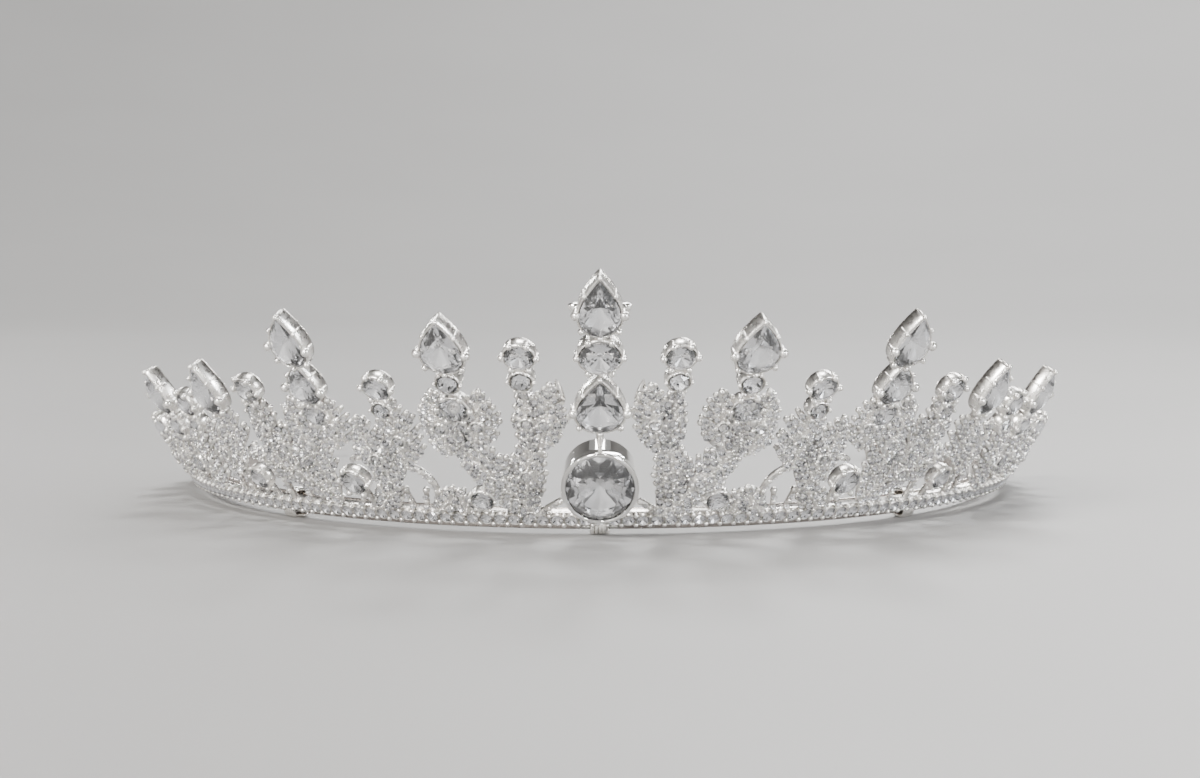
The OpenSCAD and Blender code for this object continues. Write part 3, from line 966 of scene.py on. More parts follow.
@dataclass
class Workshop:
    """What the sub-assemblies share: the wall, the finishes, the node trees and the templates."""

    wall: WallSurface
    finishes: Finishes = field(default_factory=Finishes)
    repeat: RepeatTree = field(default_factory=RepeatTree)
    wires: WireTree = field(default_factory=WireTree)
    templates: dict[str, Piece] = field(default_factory=dict)

    # A template's share of painted shade at its back
    BACK_SHADE_SHARE = 0.1
    # A lobe's places and widths along it, and how far its ends rise
    LOBE = ((-0.5, 0.3), (-0.3, 0.85), (0.1, 1.0), (0.4, 0.7), (0.5, 0.15))
    LOBE_RISE = 0.06
    # Heights of the back, the darkest painted shade on the flanks and the unshaded top of a bead and of a
    # lobe
    TIP_FLANKS = (-0.9, -0.5, 0.3)
    LOBE_FLANKS = (-0.45, -0.2, 0.2)
    # Radius of a small stone's table
    CHIP_TABLE = 0.31

    def __post_init__(self) -> None:
        """Makes the templates that are repeated."""
        self.templates["bead"] = self.ball("bead", 9, 6)
        self.templates["grain"] = self.ball("grain", 5, 4)
        # Tip beads and lobes carry painted shade on their lower flanks
        self.templates["tip"] = self.paint_flank_shade(self.ball("tip", 9, 6), self.TIP_FLANKS)
        self.templates["lobe"] = self.lobe()
        self.templates["chip"] = self.chip("chip", 6)
        self.templates["rim_chip"] = self.chip("rim_chip", 8)

    @staticmethod
    def ball(name: str, sides: int, bands: int) -> Piece:
        """Makes a ball with a radius of one metre.

        Args:
            name: Its name.
            sides: The number of faces round it.
            bands: The number of faces from pole to pole.

        Returns:
            The ball.
        """
        mesh, made = bpy.data.meshes.new(name), bmesh.new()
        bmesh.ops.create_uvsphere(made, u_segments=sides, v_segments=bands, radius=1.0)
        made.to_mesh(mesh)
        made.free()
        mesh.shade_smooth()
        return link_object(name, mesh)

    def paint_flank_shade(self, piece: Piece, heights: Sequence[float]) -> Piece:
        """Writes the attribute of painted shade on a template, which is largest on its lower flanks.

        Args:
            piece: The template.
            heights: The heights of its back, of the darkest painted shade on its flanks and of its unshaded
                top.

        Returns:
            The same template.
        """
        share = np.interp(corners_of(piece.data)[:, 2], heights, [self.BACK_SHADE_SHARE, 1, 0])
        write_points(piece.data, "flank", "FLOAT", share)
        return piece

    def lobe(self) -> Piece:
        """Makes a leaf's lobe with a length, width and thickness of one metre, pointing along X.

        Returns:
            The lobe.
        """
        q = turns_round(7)
        rings = [
            np.stack([np.full(7, x), s / 2 * np.cos(q), s / 2 * np.sin(q) + self.LOBE_RISE * (1 - s)], -1)
            for x, s in self.LOBE
        ]
        parts = MeshParts()
        parts.loft(np.stack(rings) / MM)
        return self.paint_flank_shade(parts.make("lobe", [], sharp=60), self.LOBE_FLANKS)

    def chip(self, name: str, n: int) -> Piece:
        """Makes a small stone with a diameter of one metre, its girdle at the origin.

        Args:
            name: Its name.
            n: The number of its main facets.

        Returns:
            The stone, with the attribute "back" on the faces below its girdle.
        """
        turn = turns_round(n)
        half, wide = turn + np.pi / n, self.CHIP_TABLE
        edge = 0.5 * np.column_stack([np.sin(turn), np.cos(turn), np.zeros(n)])
        table = np.column_stack([wide * np.sin(half), wide * np.cos(half), np.full(n, Stone.CROWN)])
        faces: list[tuple[int, ...]] = [tuple(n + i for i in range(n))]
        for i in range(n):
            j = (i + 1) % n
            faces += [(i, j, n + i), (j, n + j, n + i)]
        faces += [((i + 1) % n, i, 2 * n) for i in range(n)]
        parts = MeshParts()
        parts.add(np.concatenate([edge, table, [[0, 0, -Stone.PAVILION]]]) / MM, faces)
        piece = parts.make(name, [], sharp=None)
        back = piece.data.attributes.new("back", "BOOLEAN", "FACE")
        back.data.foreach_set("value", [f >= 1 + 2 * n for f in range(len(faces))])
        return piece

    def set_out(self, name: str, template: str, places: Places, finish: Material) -> Piece:
        """Repeats a template on places.

        Args:
            name: The piece's name.
            template: The template's name.
            places: The places.
            finish: The material, apart from the backs of stones, which get the foil.

        Returns:
            The mesh object.
        """
        return self.repeat.run(
            places.source(name),
            Template=self.templates[template],
            Finish=finish,
            Back_Finish=self.finishes.foil,
            Scale=MM,
        )

    def draw_wires(self, name: str, paths: Paths, finish: Material, sides: int) -> Piece:
        """Draws wires on the paths and returns the mesh object."""
        return self.wires.run(paths.source(name), Finish=finish, Sides=sides)

    def clear_templates(self) -> None:
        """Removes the templates, which aren't part of the object."""
        for template in self.templates.values():
            bpy.data.objects.remove(template)
        self.templates.clear()


# Sub-assemblies


@dataclass
class StoneSetting:
    """The seats that hold stones: a cup with claws, or a smooth bezel round the large oval."""

    shop: Workshop
    metal: MeshParts = field(default_factory=MeshParts)
    bright: MeshParts = field(default_factory=MeshParts)
    claws: Places = field(default_factory=Places)
    posts: Places = field(default_factory=Places)
    wall_width: float = 0.42
    bezel_width: float = 0.75
    bezel_inset: float = 2.2
    seat_depth: float = 0.5
    core: float = 0.4
    large: float = 3.8
    few_claws: float = 2.5
    small_claws: float = 0.62

    # Claws of each outline: turn from the stone's top and the ball's radius
    CLAWS = {
        Cut.ROUND: tuple((30 + 60 * i, 0.56) for i in range(6)),
        Cut.PEAR: (
            (0, 0.42), (66, 0.4), (104, 0.8), (140, 0.55), (180, 0.5), (220, 0.55), (256, 0.8), (294, 0.4),
        ),
        Cut.OVAL: (),
    }

    def add(self, stone: Stone, side: int) -> None:
        """Adds the seat of one stone.

        Args:
            stone: The stone.
            side: The side of the diadem, -1 or 1.
        """
        origin, along, up, face = self.shop.wall.flat_frame(side * stone.angle, stone.height)
        turns = np.arange(0, 360, 7.5 if stone.width > self.large else 15)

        def ring(grow: float, out: float, share: float = 1.0) -> Array:
            """Returns a share of the outline, moved outwards by grow and out of the face by out."""
            flat = share * stone.outline(turns, grow)
            return origin + flat[:, :1] * along + flat[:, 1:] * up + out * face

        g, low = stone.girdle, -self.seat_depth
        if stone.cut is Cut.OVAL:
            # A round lip over the girdle, a smooth outside, and a flat back with an opening
            t, inset = self.bezel_width, self.bezel_inset
            lip = np.radians(np.linspace(200, -60, 12))
            rings = [ring(t * 0.55 + 0.5 * t * math.cos(b), g + 0.12 + 0.5 * t * math.sin(b)) for b in lip]
            rings += [
                ring(t * 0.75, g - 1.2), ring(t * 0.55, low + 0.2), ring(0.0, low), ring(0.2 - inset, low),
                ring(-inset, 0.2), ring(0.8 - inset, 0.35), ring(-0.1, g - 0.45),
            ]
            self.bright.loft(np.stack(rings), closed=True)
            return
        # A cup: its floor, its outside up to the lip, and its inside down again
        t = self.wall_width
        rings = [
            ring(0.0, low, self.core), ring(0.1, low), ring(t * 0.8, low + 0.3), ring(t, g - 0.9),
            ring(t * 0.9, g - 0.12), ring(t * 0.6, g + 0.02), ring(0.16, g + 0.02), ring(0.08, g - 0.1),
            ring(0.0, low + 0.4, self.core),
        ]
        self.metal.loft(np.stack(rings), closed=True)
        share, middle = 1.0 if stone.width > self.large else self.small_claws, (g - low) / 2
        for q, full in self.CLAWS[stone.cut][:: 1 if stone.width > self.few_claws else 2]:
            size = full * share
            flat = stone.outline(np.array([q - 4, q, q + 4]), t * 0.6 + 0.3 * size)[1]
            point = origin + flat[0] * along + flat[1] * up
            self.claws.add(point + (g + 0.12 * size) * face, along, face, size)
            self.posts.add(point + middle * face, along, face, (0.55 * size, 0.55 * size, middle))


@dataclass
class MainStones:
    """The large stones, each a piece of its own, and their seats."""

    shop: Workshop
    setting: StoneSetting
    mains: int = 8

    def build(self) -> None:
        """Cuts and sets every main stone."""
        for stone in STONES:
            self.cut_stone(stone, 1, stone.name)
        for stone in PAIRED_STONES:
            for side, word in zip(SIDES, ("left", "right")):
                self.cut_stone(stone, side, f"{stone.name}_{word}")

    def cut_stone(self, stone: Stone, side: int, node: str) -> None:
        """Makes one stone and its seat.

        Args:
            stone: The stone.
            side: The side of the diadem, -1 or 1.
            node: The solid that it stands for.
        """
        origin, along, up, face = self.shop.wall.flat_frame(side * stone.angle, stone.height)
        corners, faces, marks = stone.brilliant(self.mains)
        parts = MeshParts()
        parts.add(
            origin + corners[:, :1] * along + corners[:, 1:2] * up + (corners[:, 2:] + stone.girdle) * face,
            faces,
            marks,
        )
        finishes = self.shop.finishes
        piece = parts.make(f"cut_{node}", [finishes.crystal, finishes.foil], sharp=None)
        settle(piece, [node])
        self.setting.add(stone, side)


@dataclass
class RimRow:
    """The strip along the rim with its row of small stones, their cups and shared claws."""

    shop: Workshop
    end_angle: float = 96.0
    half_height: float = 1.35
    edge: float = 0.18
    pitch: float = 2.3
    stone: float = 2.0
    end_gap: float = 3.2
    lift: float = 0.1
    claw: float = 0.42
    claw_height: float = 1.0
    post: tuple[float, float, float] = (0.36, 0.34, 0.6)
    steps: int = 288

    @property
    def girdle(self) -> float:
        """Distance of the stones' girdles out of the wall's middle surface."""
        return self.shop.wall.thickness / 2 + self.lift + Stone.PAVILION * self.stone

    @property
    def angles(self) -> Array:
        """Works out where the stones sit, as in the solids.

        Returns:
            Their angles, in degrees.
        """
        reach = self.shop.wall.rim_radius + self.shop.wall.gap + self.shop.wall.gap_side / 2
        last = math.floor(math.radians(self.end_angle - self.end_gap) * reach / self.pitch)
        return np.degrees(np.arange(-last, last + 1) * self.pitch / reach)

    def strip(self) -> MeshParts:
        """Makes the strip with its cut edges.

        Returns:
            The strip.
        """
        wall, parts = self.shop.wall, MeshParts()
        angle = np.linspace(-self.end_angle, self.end_angle, self.steps + 1)
        section = cut_corners(self.half_height, wall.thickness / 2, self.edge)
        parts.loft(np.stack([wall.at(angle, y, z) for y, z in section], 1))
        return parts

    def cups(self) -> MeshParts:
        """Makes a low cup round each stone.

        Returns:
            The cups.
        """
        parts, q, g = MeshParts(), turns_round(16), self.girdle
        profile = ((1.06, 0.2), (1.14, g - 0.15), (1.08, g + 0.02), (1.0, g - 0.04), (0.9, 0.2))
        for a in self.angles:
            origin, along, up, face = self.shop.wall.flat_frame(a, 0.0)
            circle = np.sin(q)[:, None] * along + np.cos(q)[:, None] * up
            rings = [origin + radius * circle + out * face for radius, out in profile]
            parts.loft(np.stack(rings), closed=True)
        return parts

    def build(self) -> list[Piece]:
        """Sets out the row.

        Returns:
            The metal pieces, which are joined to the openwork later.
        """
        wall, finish = self.shop.wall, self.shop.finishes
        stones, claws, posts = Places(), Places(), Places()
        girdle, angles = self.girdle, self.angles
        step = angles[1] - angles[0]
        for a in angles:
            origin, along, up, face = wall.flat_frame(a, 0.0)
            stones.add(origin + girdle * face, along, face, self.stone)
        for a in np.append(angles - step / 2, angles[-1] + step / 2):
            for height in (-self.claw_height, self.claw_height):
                origin, along, up, face = wall.flat_frame(a, height)
                claws.add(origin + (girdle - 0.02) * face, along, face, self.claw)
                posts.add(origin + (girdle - 0.45) * face, along, face, self.post)
        row = self.shop.set_out("row_of_rim_stones", "rim_chip", stones, finish.crystal)
        settle(row, ["rim_stones"])
        return [
            self.strip().make("rim_strip", [finish.plated]),
            self.cups().make("rim_cups", [finish.plated]),
            self.shop.set_out("rim_claws", "bead", claws, finish.plated),
            self.shop.set_out("rim_posts", "grain", posts, finish.plated),
        ]


@dataclass
class LeafSprays:
    """Fern-like sprays: a rib with lobes on both sides, thickly set with grains and tiny stones."""

    shop: Workshop
    pave: Places
    rib_radius: tuple[float, float] = (0.5, 0.24)
    rib_steps: int = 12
    step_out: float = 0.75
    lobe_pitch: float = 2.0
    lobe_angle: float = 44.0
    lobe_width: float = 1.3
    lobe_thickness: float = 0.85
    stagger: float = 0.12
    chip: float = 1.3
    chip_pitch: float = 1.45
    seed: int = 11
    ribs: Paths = field(default_factory=Paths)
    lobes: Places = field(default_factory=Places)
    beads: Places = field(default_factory=Places)
    grains: Places = field(default_factory=Places)

    # Share of a spray's length that its rib takes, and how far the rib climbs out
    RIB_SHARE = 0.97
    CLIMB = 0.45
    # Ranges of a lobe's lean, in degrees, of its reach and sizes, as shares, and of its tip's height
    LEAN = (-5, 5)
    REACH = (0.92, 1.1)
    SIZE = (0.9, 1.08)
    TIP = (-0.25, 0.3)
    # Ranges of the radii of tip beads and grains
    BEAD = (0.46, 0.58)
    GRAIN = (0.24, 0.31)
    # Places of tiny stones and grains: out of a lobe's middle line, and beside it
    CHIP_OUT = 0.62
    CHIP_TILT = 0.2
    GRAIN_OUT = 0.55
    GRAIN_ASIDE = 0.46

    def __post_init__(self) -> None:
        """Seeds the small differences between lobes."""
        self.random = np.random.default_rng(self.seed)

    @staticmethod
    def bent(turn: float, bend: float, along: Array) -> Array:
        """Bends a rib.

        Args:
            turn: Its first direction, in degrees from straight up.
            bend: Its bend for each millimetre, in degrees.
            along: Distances along it.

        Returns:
            Flat points, one row each.
        """
        half = np.radians(bend * along / 2)
        chord = along * np.sinc(half / np.pi)
        way = math.radians(turn) + half
        return np.stack([chord * np.sin(way), chord * np.cos(way)], -1)

    def add(self, row: Sequence[float], side: int) -> None:
        """Adds one spray.

        Args:
            row: Angle, height, turn, length, half width, bend and step out.
            side: The side of the diadem, -1 or 1.
        """
        wall = self.shop.wall
        angle, height, turn, length, half_width, bend, out = row
        angle, turn, bend = side * angle, side * turn, side * bend

        def place(y: Array, x: Array, n: Array) -> Array:
            """Finds points of the spray.

            Args:
                y: Distances up the rib.
                x: Distances beside it.
                n: Distances out of the wall's middle surface.

            Returns:
                The points, one row each.
            """
            y, x = np.atleast_1d(y).astype(float), np.atleast_1d(x).astype(float)
            way = np.radians(turn + bend * y / length)
            flat = self.bent(turn, bend / length, y) + x[:, None] * np.stack([np.cos(way), -np.sin(way)], -1)
            return wall.beside(angle, height, flat, n)

        steps = np.linspace(0, length * self.RIB_SHARE, self.rib_steps)
        rib = place(steps, 0 * steps, self.step_out + out + self.CLIMB * steps / length)
        self.ribs.add(rib, np.linspace(*self.rib_radius, self.rib_steps))
        count = max(3, round(length / self.lobe_pitch))
        for i in range(count):
            for hand in (-1, 1):
                y = length * (i + 0.2 + self.stagger * hand) / count
                lean = math.radians(self.lobe_angle + self.random.uniform(*self.LEAN))
                # Share of the way up at which the lobe ends, and the leaf's half width there
                t = min(1.0, y / length + 0.5 * half_width / length)
                swell = math.sin(math.pi * (0.12 + 0.84 * t**0.8)) ** 0.6
                reach = half_width * swell * (1 - 0.3 * t**3) * self.random.uniform(*self.REACH)
                ahead = min(reach / math.tan(lean), max(0.5, length * 1.02 - y))
                rise = out + 0.5 * t
                root = place(y, hand * 0.15, self.step_out + rise)[0]
                tip = place(y + ahead, hand * reach, rise - 0.1 + self.random.uniform(*self.TIP))[0]
                self.lobe(root, tip, angle)
        root, tip = place(length * 0.82, 0.0, 1.0 + out)[0], place(length * 1.01, 0.0, 0.8 + out)[0]
        self.lobe(root, tip, angle)

    def lobe(self, root: Array, tip: Array, angle: float) -> None:
        """Adds one lobe with its tip bead, its tiny stones and their grains.

        Args:
            root: Its root.
            tip: Its tip.
            angle: The angle of the spray, in degrees.
        """
        _, _, face = self.shop.wall.axes(np.asarray(angle, float))
        way, size = tip - root, float(np.linalg.norm(tip - root))
        width = self.lobe_width * self.random.uniform(*self.SIZE)
        self.lobes.add((root + tip) / 2, way, face, (size * 1.12, width, self.lobe_thickness))
        across = unit(np.cross(face, way))
        out = unit(np.cross(way, across))
        self.beads.add(tip + 0.12 * out, way, face, self.random.uniform(*self.BEAD))
        count = max(1, round((size - 0.6) / self.chip_pitch))
        step = (size - 0.35) / count
        for i in range(count):
            spot = root + (0.25 + (i + 0.5) * step) / size * way
            chip = self.chip * self.random.uniform(*self.SIZE)
            tilt = out + self.CHIP_TILT * self.random.normal(size=3)
            self.pave.add(spot + self.CHIP_OUT * out, way, tilt, chip)
            between = spot - 0.5 * step / size * way + self.GRAIN_OUT * out
            for hand in (-1, 1):
                beside = between + hand * self.GRAIN_ASIDE * across
                self.grains.add(beside, way, face, self.random.uniform(*self.GRAIN))

    def build(self) -> list[Piece]:
        """Makes all sprays and returns their metal pieces."""
        for row in SPRAYS:
            for side in SIDES:
                self.add(row, side)
        plated = self.shop.finishes.plated
        return [
            self.shop.draw_wires("spray_ribs", self.ribs, plated, 8),
            self.shop.set_out("spray_lobes", "lobe", self.lobes, plated),
            self.shop.set_out("spray_beads", "tip", self.beads, plated),
            self.shop.set_out("spray_grains", "grain", self.grains, plated),
        ]


@dataclass
class StemsAndScrolls:
    """Stems, scrolls, plain drops and the ties that hold the openwork to the headband."""

    shop: Workshop
    pave: Places
    paths: Paths = field(default_factory=Paths)
    beads: Places = field(default_factory=Places)
    middle: float = 0.6
    thick: float = 0.55
    thin: float = 0.42
    bead_pitch: float = 1.15
    bead: float = 0.44
    chip: float = 1.1
    bar_bead: float = 0.62
    tie_radius: float = 71.5
    tie_height: float = 1.37
    tie_reach: float = 2.4
    end_tie: tuple[float, float, float] = (93, 97.6, 93.4)
    foot_thick: float = 0.34
    bead_out: float = 0.42
    chip_out: float = 0.62
    stem_out: float = 0.05
    scroll_out: float = 0.15

    # A drop's widths along it, as shares of its length and of its largest width
    DROP = (
        (-0.12, 0.3), (0.0, 0.75), (0.2, 1.0), (0.45, 0.92),
        (0.7, 0.62), (0.88, 0.34), (0.97, 0.14), (1.0, 0.02),
    )
    ACROSS = np.array([1.0, 0, 0])

    def line(self, points: Array, thick: float, angle: float, beaded: bool = True) -> None:
        """Adds a wire.

        Args:
            points: Its points.
            thick: Its radius.
            angle: The angle at which its beads face out, in degrees.
            beaded: Whether it carries a row of beads and tiny stones.
        """
        self.paths.add(points, thick)
        if not beaded:
            return
        _, _, face = self.shop.wall.axes(np.asarray(angle, float))
        steps = np.concatenate([[0], np.cumsum(np.linalg.norm(np.diff(points, axis=0), axis=1))])
        for i, s in enumerate(np.arange(0.5, steps[-1], self.bead_pitch)):
            spot = np.array([np.interp(s, steps, points[:, k]) for k in range(3)])
            if i % 2:
                self.beads.add(spot + self.bead_out * face, self.ACROSS, face, self.bead)
            else:
                self.pave.add(spot + self.chip_out * face, self.ACROSS, face, self.chip)

    def ties(self) -> None:
        """Adds the bars behind the rim strip and their feet."""
        wall, radius, z = self.shop.wall, self.tie_radius, self.tie_height
        ends = [(c - self.tie_reach, c + self.tie_reach) for c in TIE_ANGLES]
        bars = [(first, last, (first, last)) for first, last in ends]
        start, end, single = self.end_tie
        bars += [(side * start, side * end, (side * single,)) for side in SIDES]
        for first, last, feet in bars:
            self.paths.add(wall.level(radius, np.linspace(first, last, 9), z), self.thin)
            for foot in feet:
                strut = [wall.level(radius, foot, z), wall.at(foot, -0.3, 0.0)]
                self.paths.add(np.stack(strut), self.foot_thick)

    def drops(self) -> MeshParts:
        """Makes the plain polished drops.

        Returns:
            The drops.
        """
        parts, q = MeshParts(), turns_round(12)[:, None]
        for angle, height, turn, length in DROPS:
            for side in SIDES:
                origin, along, up, face = self.shop.wall.flat_frame(side * angle, height)
                t = math.radians(side * turn)
                way, across = math.sin(t) * along + math.cos(t) * up, math.cos(t) * along - math.sin(t) * up
                section = np.cos(q) * across + (0.8 * np.sin(q) + 0.1) * face
                parts.loft(np.stack([origin + s * length * way + w * section for s, w in self.DROP]))
        return parts

    def build(self) -> list[Piece]:
        """Makes the stems, bars, scrolls, ties and drops.

        Returns:
            The metal pieces, which are joined to the openwork later.
        """
        wall = self.shop.wall
        self.line(wall.at(0.0, np.linspace(1.0, 44, 40), 0.0), self.middle, 0.0, False)
        for a1, h1, a2, h2 in STEMS:
            for side in SIDES:
                t = np.linspace(0, 1, max(2, int(abs(h2 - h1) / 1.2)))
                stem = wall.at(side * (a1 + (a2 - a1) * t), h1 + (h2 - h1) * t, self.stem_out)
                self.line(stem, self.thick, side * a1)
        for a1, h1, a2, h2 in BARS:
            for side in SIDES if a1 else (1,):
                t = np.linspace(0, 1, 4)
                bar = wall.at(side * (a1 + (a2 - a1) * t), h1 + (h2 - h1) * t, 0.0)
                self.line(bar, self.thin, side * a1)
                self.beads.add(bar[-1], self.ACROSS, wall.axes(np.asarray(side * a2))[2], self.bar_bead)
        for angle, height, radius, first, last in SCROLLS:
            for side in SIDES:
                q = np.radians(np.linspace(first, last, 24)) * side
                flat = radius * np.stack([np.sin(q), np.cos(q)], -1)
                scroll = wall.beside(side * angle, height, flat, self.scroll_out)
                self.line(scroll, self.thick, side * angle)
        self.ties()
        finish = self.shop.finishes
        return [
            self.shop.draw_wires("stems", self.paths, finish.plated, 10),
            self.shop.set_out("stem_beads", "bead", self.beads, finish.plated),
            self.drops().make("plain_drops", [finish.polished]),
        ]


@dataclass
class Openwork:
    """The soldered silver wall: rim, stems and seats as one piece and the sprays as another, with the oval's
    bezel and the fine stones.
    """

    shop: Workshop
    setting: StoneSetting
    pave: Places = field(default_factory=Places)
    shortest_spray: float = 8.5
    spray_stone: float = 1.8
    spray_share: float = 0.45
    lift: float = 0.8
    # Distances out of the middle surface at which the painted shade of the hollows ends, in the frame and in
    # the leaves
    frame_face: float = 0.6
    leaf_face: float = 0.75

    def small_stones(self) -> None:
        """Adds the stones in the middle of the sprays and on the spikes, with their seats."""
        for angle, height, turn, length, _, bend, out in SPRAYS:
            if length < self.shortest_spray:
                continue
            flat = LeafSprays.bent(turn, bend / length, np.array([self.spray_share * length]))[0]
            h = height + flat[1]
            reach = float(self.shop.wall.reach(np.asarray(float(angle)), np.asarray(h)))
            for side in SIDES:
                beside = side * (angle + math.degrees(flat[0] / reach))
                self.set_small(beside, h, self.spray_stone, self.lift + out)
        for angle, height, size in SPIKE_SMALL:
            for side in SIDES:
                self.set_small(side * angle, height, size, self.lift)

    def set_small(self, angle: float, height: float, size: float, lift: float) -> None:
        """Sets one small stone and its seat.

        Args:
            angle: Its angle, in degrees.
            height: Its height.
            size: Its diameter.
            lift: How far it is lifted.
        """
        stone = Stone("small", Cut.ROUND, angle, height, size, size, lift)
        origin, along, _, face = self.shop.wall.flat_frame(angle, height)
        self.pave.add(origin + stone.girdle * face, along, face, size)
        self.setting.add(stone, 1)

    def build(self) -> None:
        """Makes the wall and the small stones."""
        finish, wall = self.shop.finishes, self.shop.wall
        pieces = RimRow(self.shop).build()
        pieces += StemsAndScrolls(self.shop, self.pave).build()
        self.small_stones()
        sprays = LeafSprays(self.shop, self.pave).build()
        seats = self.setting.metal.make("seats", [finish.plated], sharp=50)
        claws = self.shop.set_out("claws", "bead", self.setting.claws, finish.plated)
        posts = self.shop.set_out("claw_posts", "grain", self.setting.posts, finish.plated)
        openwork = join("openwork_frame", [*pieces, seats, claws, posts])
        # Painted shade in the hollows, for the frame and then for the leaves
        wall.paint_hollow_shade(openwork, self.frame_face)
        settle(openwork, ["openwork_wall"])
        leaves = join("openwork_leaves", sprays)
        wall.paint_hollow_shade(leaves, self.leaf_face)
        settle(leaves)
        settle(self.setting.bright.make("oval_bezel", [finish.polished], sharp=60))
        pave = self.shop.set_out("fine_stones", "chip", self.pave, finish.crystal)
        settle(pave, ["pave_stones"])


@dataclass
class Headband:
    """The plain inner strip with its inturned ends and eyelets, and the thin wire behind the wall."""

    shop: Workshop
    radius: float = 70.0
    thickness: float = 0.9
    height: float = 3.4
    bottom: float = 0.82
    end_angle: float = 98.0
    tail_length: float = 34.0
    tail_turn: float = 26.0
    eyelet: tuple[float, float, float] = (1.3, 2.4, 1.2)
    edge: float = 0.16
    wire_radius: float = 0.35
    wire_path: float = 71.5
    wire_drop: float = 0.7
    wire_end: float = 97.6

    # An eyelet's section: distance inwards from its inner or outer edge, and height as a share
    INNER = ((0, 0.42), (0.12, 0.5))
    OUTER = ((-0.25, 0.5), (0, 0.3))

    def eyelets(self, end: Array) -> list[Array]:
        """Makes the rings of both eyelets.

        Args:
            end: The middle of the right one, seen from above.

        Returns:
            The rings of each.
        """
        inner, outer, thick = self.eyelet
        top = [(inner + x, z) for x, z in self.INNER] + [(outer + x, z) for x, z in self.OUTER]
        profile = top + [(x, -z) for x, z in reversed(top)]
        q, z = turns_round(48), self.bottom + self.height / 2
        flat = np.column_stack([np.cos(q), np.sin(q), np.zeros(48)])
        rings = np.stack([r * flat + [0, 0, rise * thick] for r, rise in profile])
        return [rings + [side * end[0], end[1] + self.shop.wall.shift, z] for side in SIDES]

    def build(self) -> None:
        """Makes the strip and the rear wire."""
        wall, parts = self.shop.wall, MeshParts()
        mid = self.radius + self.thickness / 2
        a = np.radians(np.linspace(-self.end_angle, self.end_angle, 241))
        path = np.stack([mid * np.sin(a), -mid * np.cos(a)], -1)
        turn = math.radians(self.tail_turn)
        way = np.array([-math.sin(turn), math.cos(turn)])
        run = np.linspace(0.8, self.tail_length - self.eyelet[0] - 0.4, 12)[:, None]
        right = path[-1] + run * way
        path = np.concatenate([right[::-1] * np.array([-1, 1]), path, right])
        ahead = np.gradient(path, axis=0)
        out = unit(np.stack([ahead[:, 1], -ahead[:, 0]], -1))
        half = self.height / 2
        rings = [
            np.column_stack([path + x * out, np.full(len(path), self.bottom + half + z)]) + [0, wall.shift, 0]
            for x, z in cut_corners(self.thickness / 2, half, self.edge)
        ]
        parts.loft(np.stack(rings, 1))
        for eyelet in self.eyelets(path[-1] + (self.tail_length - run[-1, 0]) * way):
            parts.loft(eyelet, closed=True)
        # The strip and the rear wire get the band plate with its painted dark reflection
        finish = self.shop.finishes.band
        settle(parts.make("headband_strip", [finish], sharp=50), ["headband"])
        wire, angles = Paths(), np.linspace(-self.wire_end, self.wire_end, 200)
        z = self.bottom + self.height - self.wire_drop
        wire.add(wall.level(self.wire_path, angles, z), self.wire_radius)
        settle(self.shop.draw_wires("thin_rear_wire", wire, finish, 10), ["rear_wire"])


@dataclass
class WireBinding:
    """A wire that is wound round the headband, the rear wire and the wall's tie bar."""

    shop: Workshop
    angle: float
    node: str
    turns: int = 4
    wire: float = 0.35
    near: float = 69.53
    far: float = 72.37
    low: float = 0.35
    high: float = 4.69
    power: float = 5.0
    pitch: float = 0.93
    sway: tuple[float, float] = (0.05, 2.3)

    def build(self) -> None:
        """Winds the wire."""
        t = np.linspace(0, self.turns, self.turns * 40 + 1)
        q = 2 * np.pi * t - np.pi / 2
        radial, z = squared(q, self.power).T
        radial = (self.near + self.far) / 2 + (self.far - self.near) / 2 * radial
        z = (self.low + self.high) / 2 + (self.high - self.low) / 2 * z
        side = (t - self.turns / 2) * 2 * self.wire * self.pitch + self.sway[0] * np.sin(self.sway[1] * q)
        a, shift = math.radians(self.angle), self.shop.wall.shift
        x, y = radial * math.sin(a) + side * math.cos(a), shift - radial * math.cos(a) + side * math.sin(a)
        path = Paths()
        path.add(np.stack([x, y, z], -1), self.wire)
        piece = self.shop.draw_wires(f"wound_{self.node}", path, self.shop.finishes.wire, 12)
        settle(piece, [self.node])


@dataclass
class EndClamp:
    """A small folded clamp at one end of the rim, a little lumpy from its solder."""

    shop: Workshop
    side: int
    node: str
    inner: float = 69.28
    outer: float = 72.62
    length: float = 3.0
    top: float = 4.94
    angle: float = 96.0
    power: float = 6.0
    lump: float = 0.03
    seed: int = 3

    # Rings along the clamp: place and width, with two grooves between them
    RINGS = (
        (-1, 0.86), (-0.93, 0.97), (-0.6, 1.0), (-0.5, 0.94), (-0.2, 1.0),
        (0.2, 1.0), (0.5, 0.94), (0.6, 1.0), (0.93, 0.97), (1, 0.86),
    )

    def build(self) -> None:
        """Makes the clamp."""
        random = np.random.default_rng(self.seed)
        parts, a = MeshParts(), math.radians(self.side * self.angle)
        out = np.array([math.sin(a), -math.cos(a), 0])
        along, up = np.array([math.cos(a), math.sin(a), 0]), np.array([0, 0, 1])
        centre = np.array([0, self.shop.wall.shift, self.top / 2]) + (self.inner + self.outer) / 2 * out
        half = np.array([(self.outer - self.inner) / 2, self.length / 2, self.top / 2])
        x, z = squared(turns_round(40), self.power).T
        rings = []
        for s, w in self.RINGS:
            wide = half[0] * x * w * (1 - self.lump * random.random(40))
            high = half[2] * z * min(1, w + 0.02)
            rings.append(centre + wide[:, None] * out + s * half[1] * along + high[:, None] * up)
        parts.loft(np.stack(rings))
        piece = parts.make(f"folded_{self.node}", [self.shop.finishes.polished], sharp=45)
        settle(piece, [self.node])


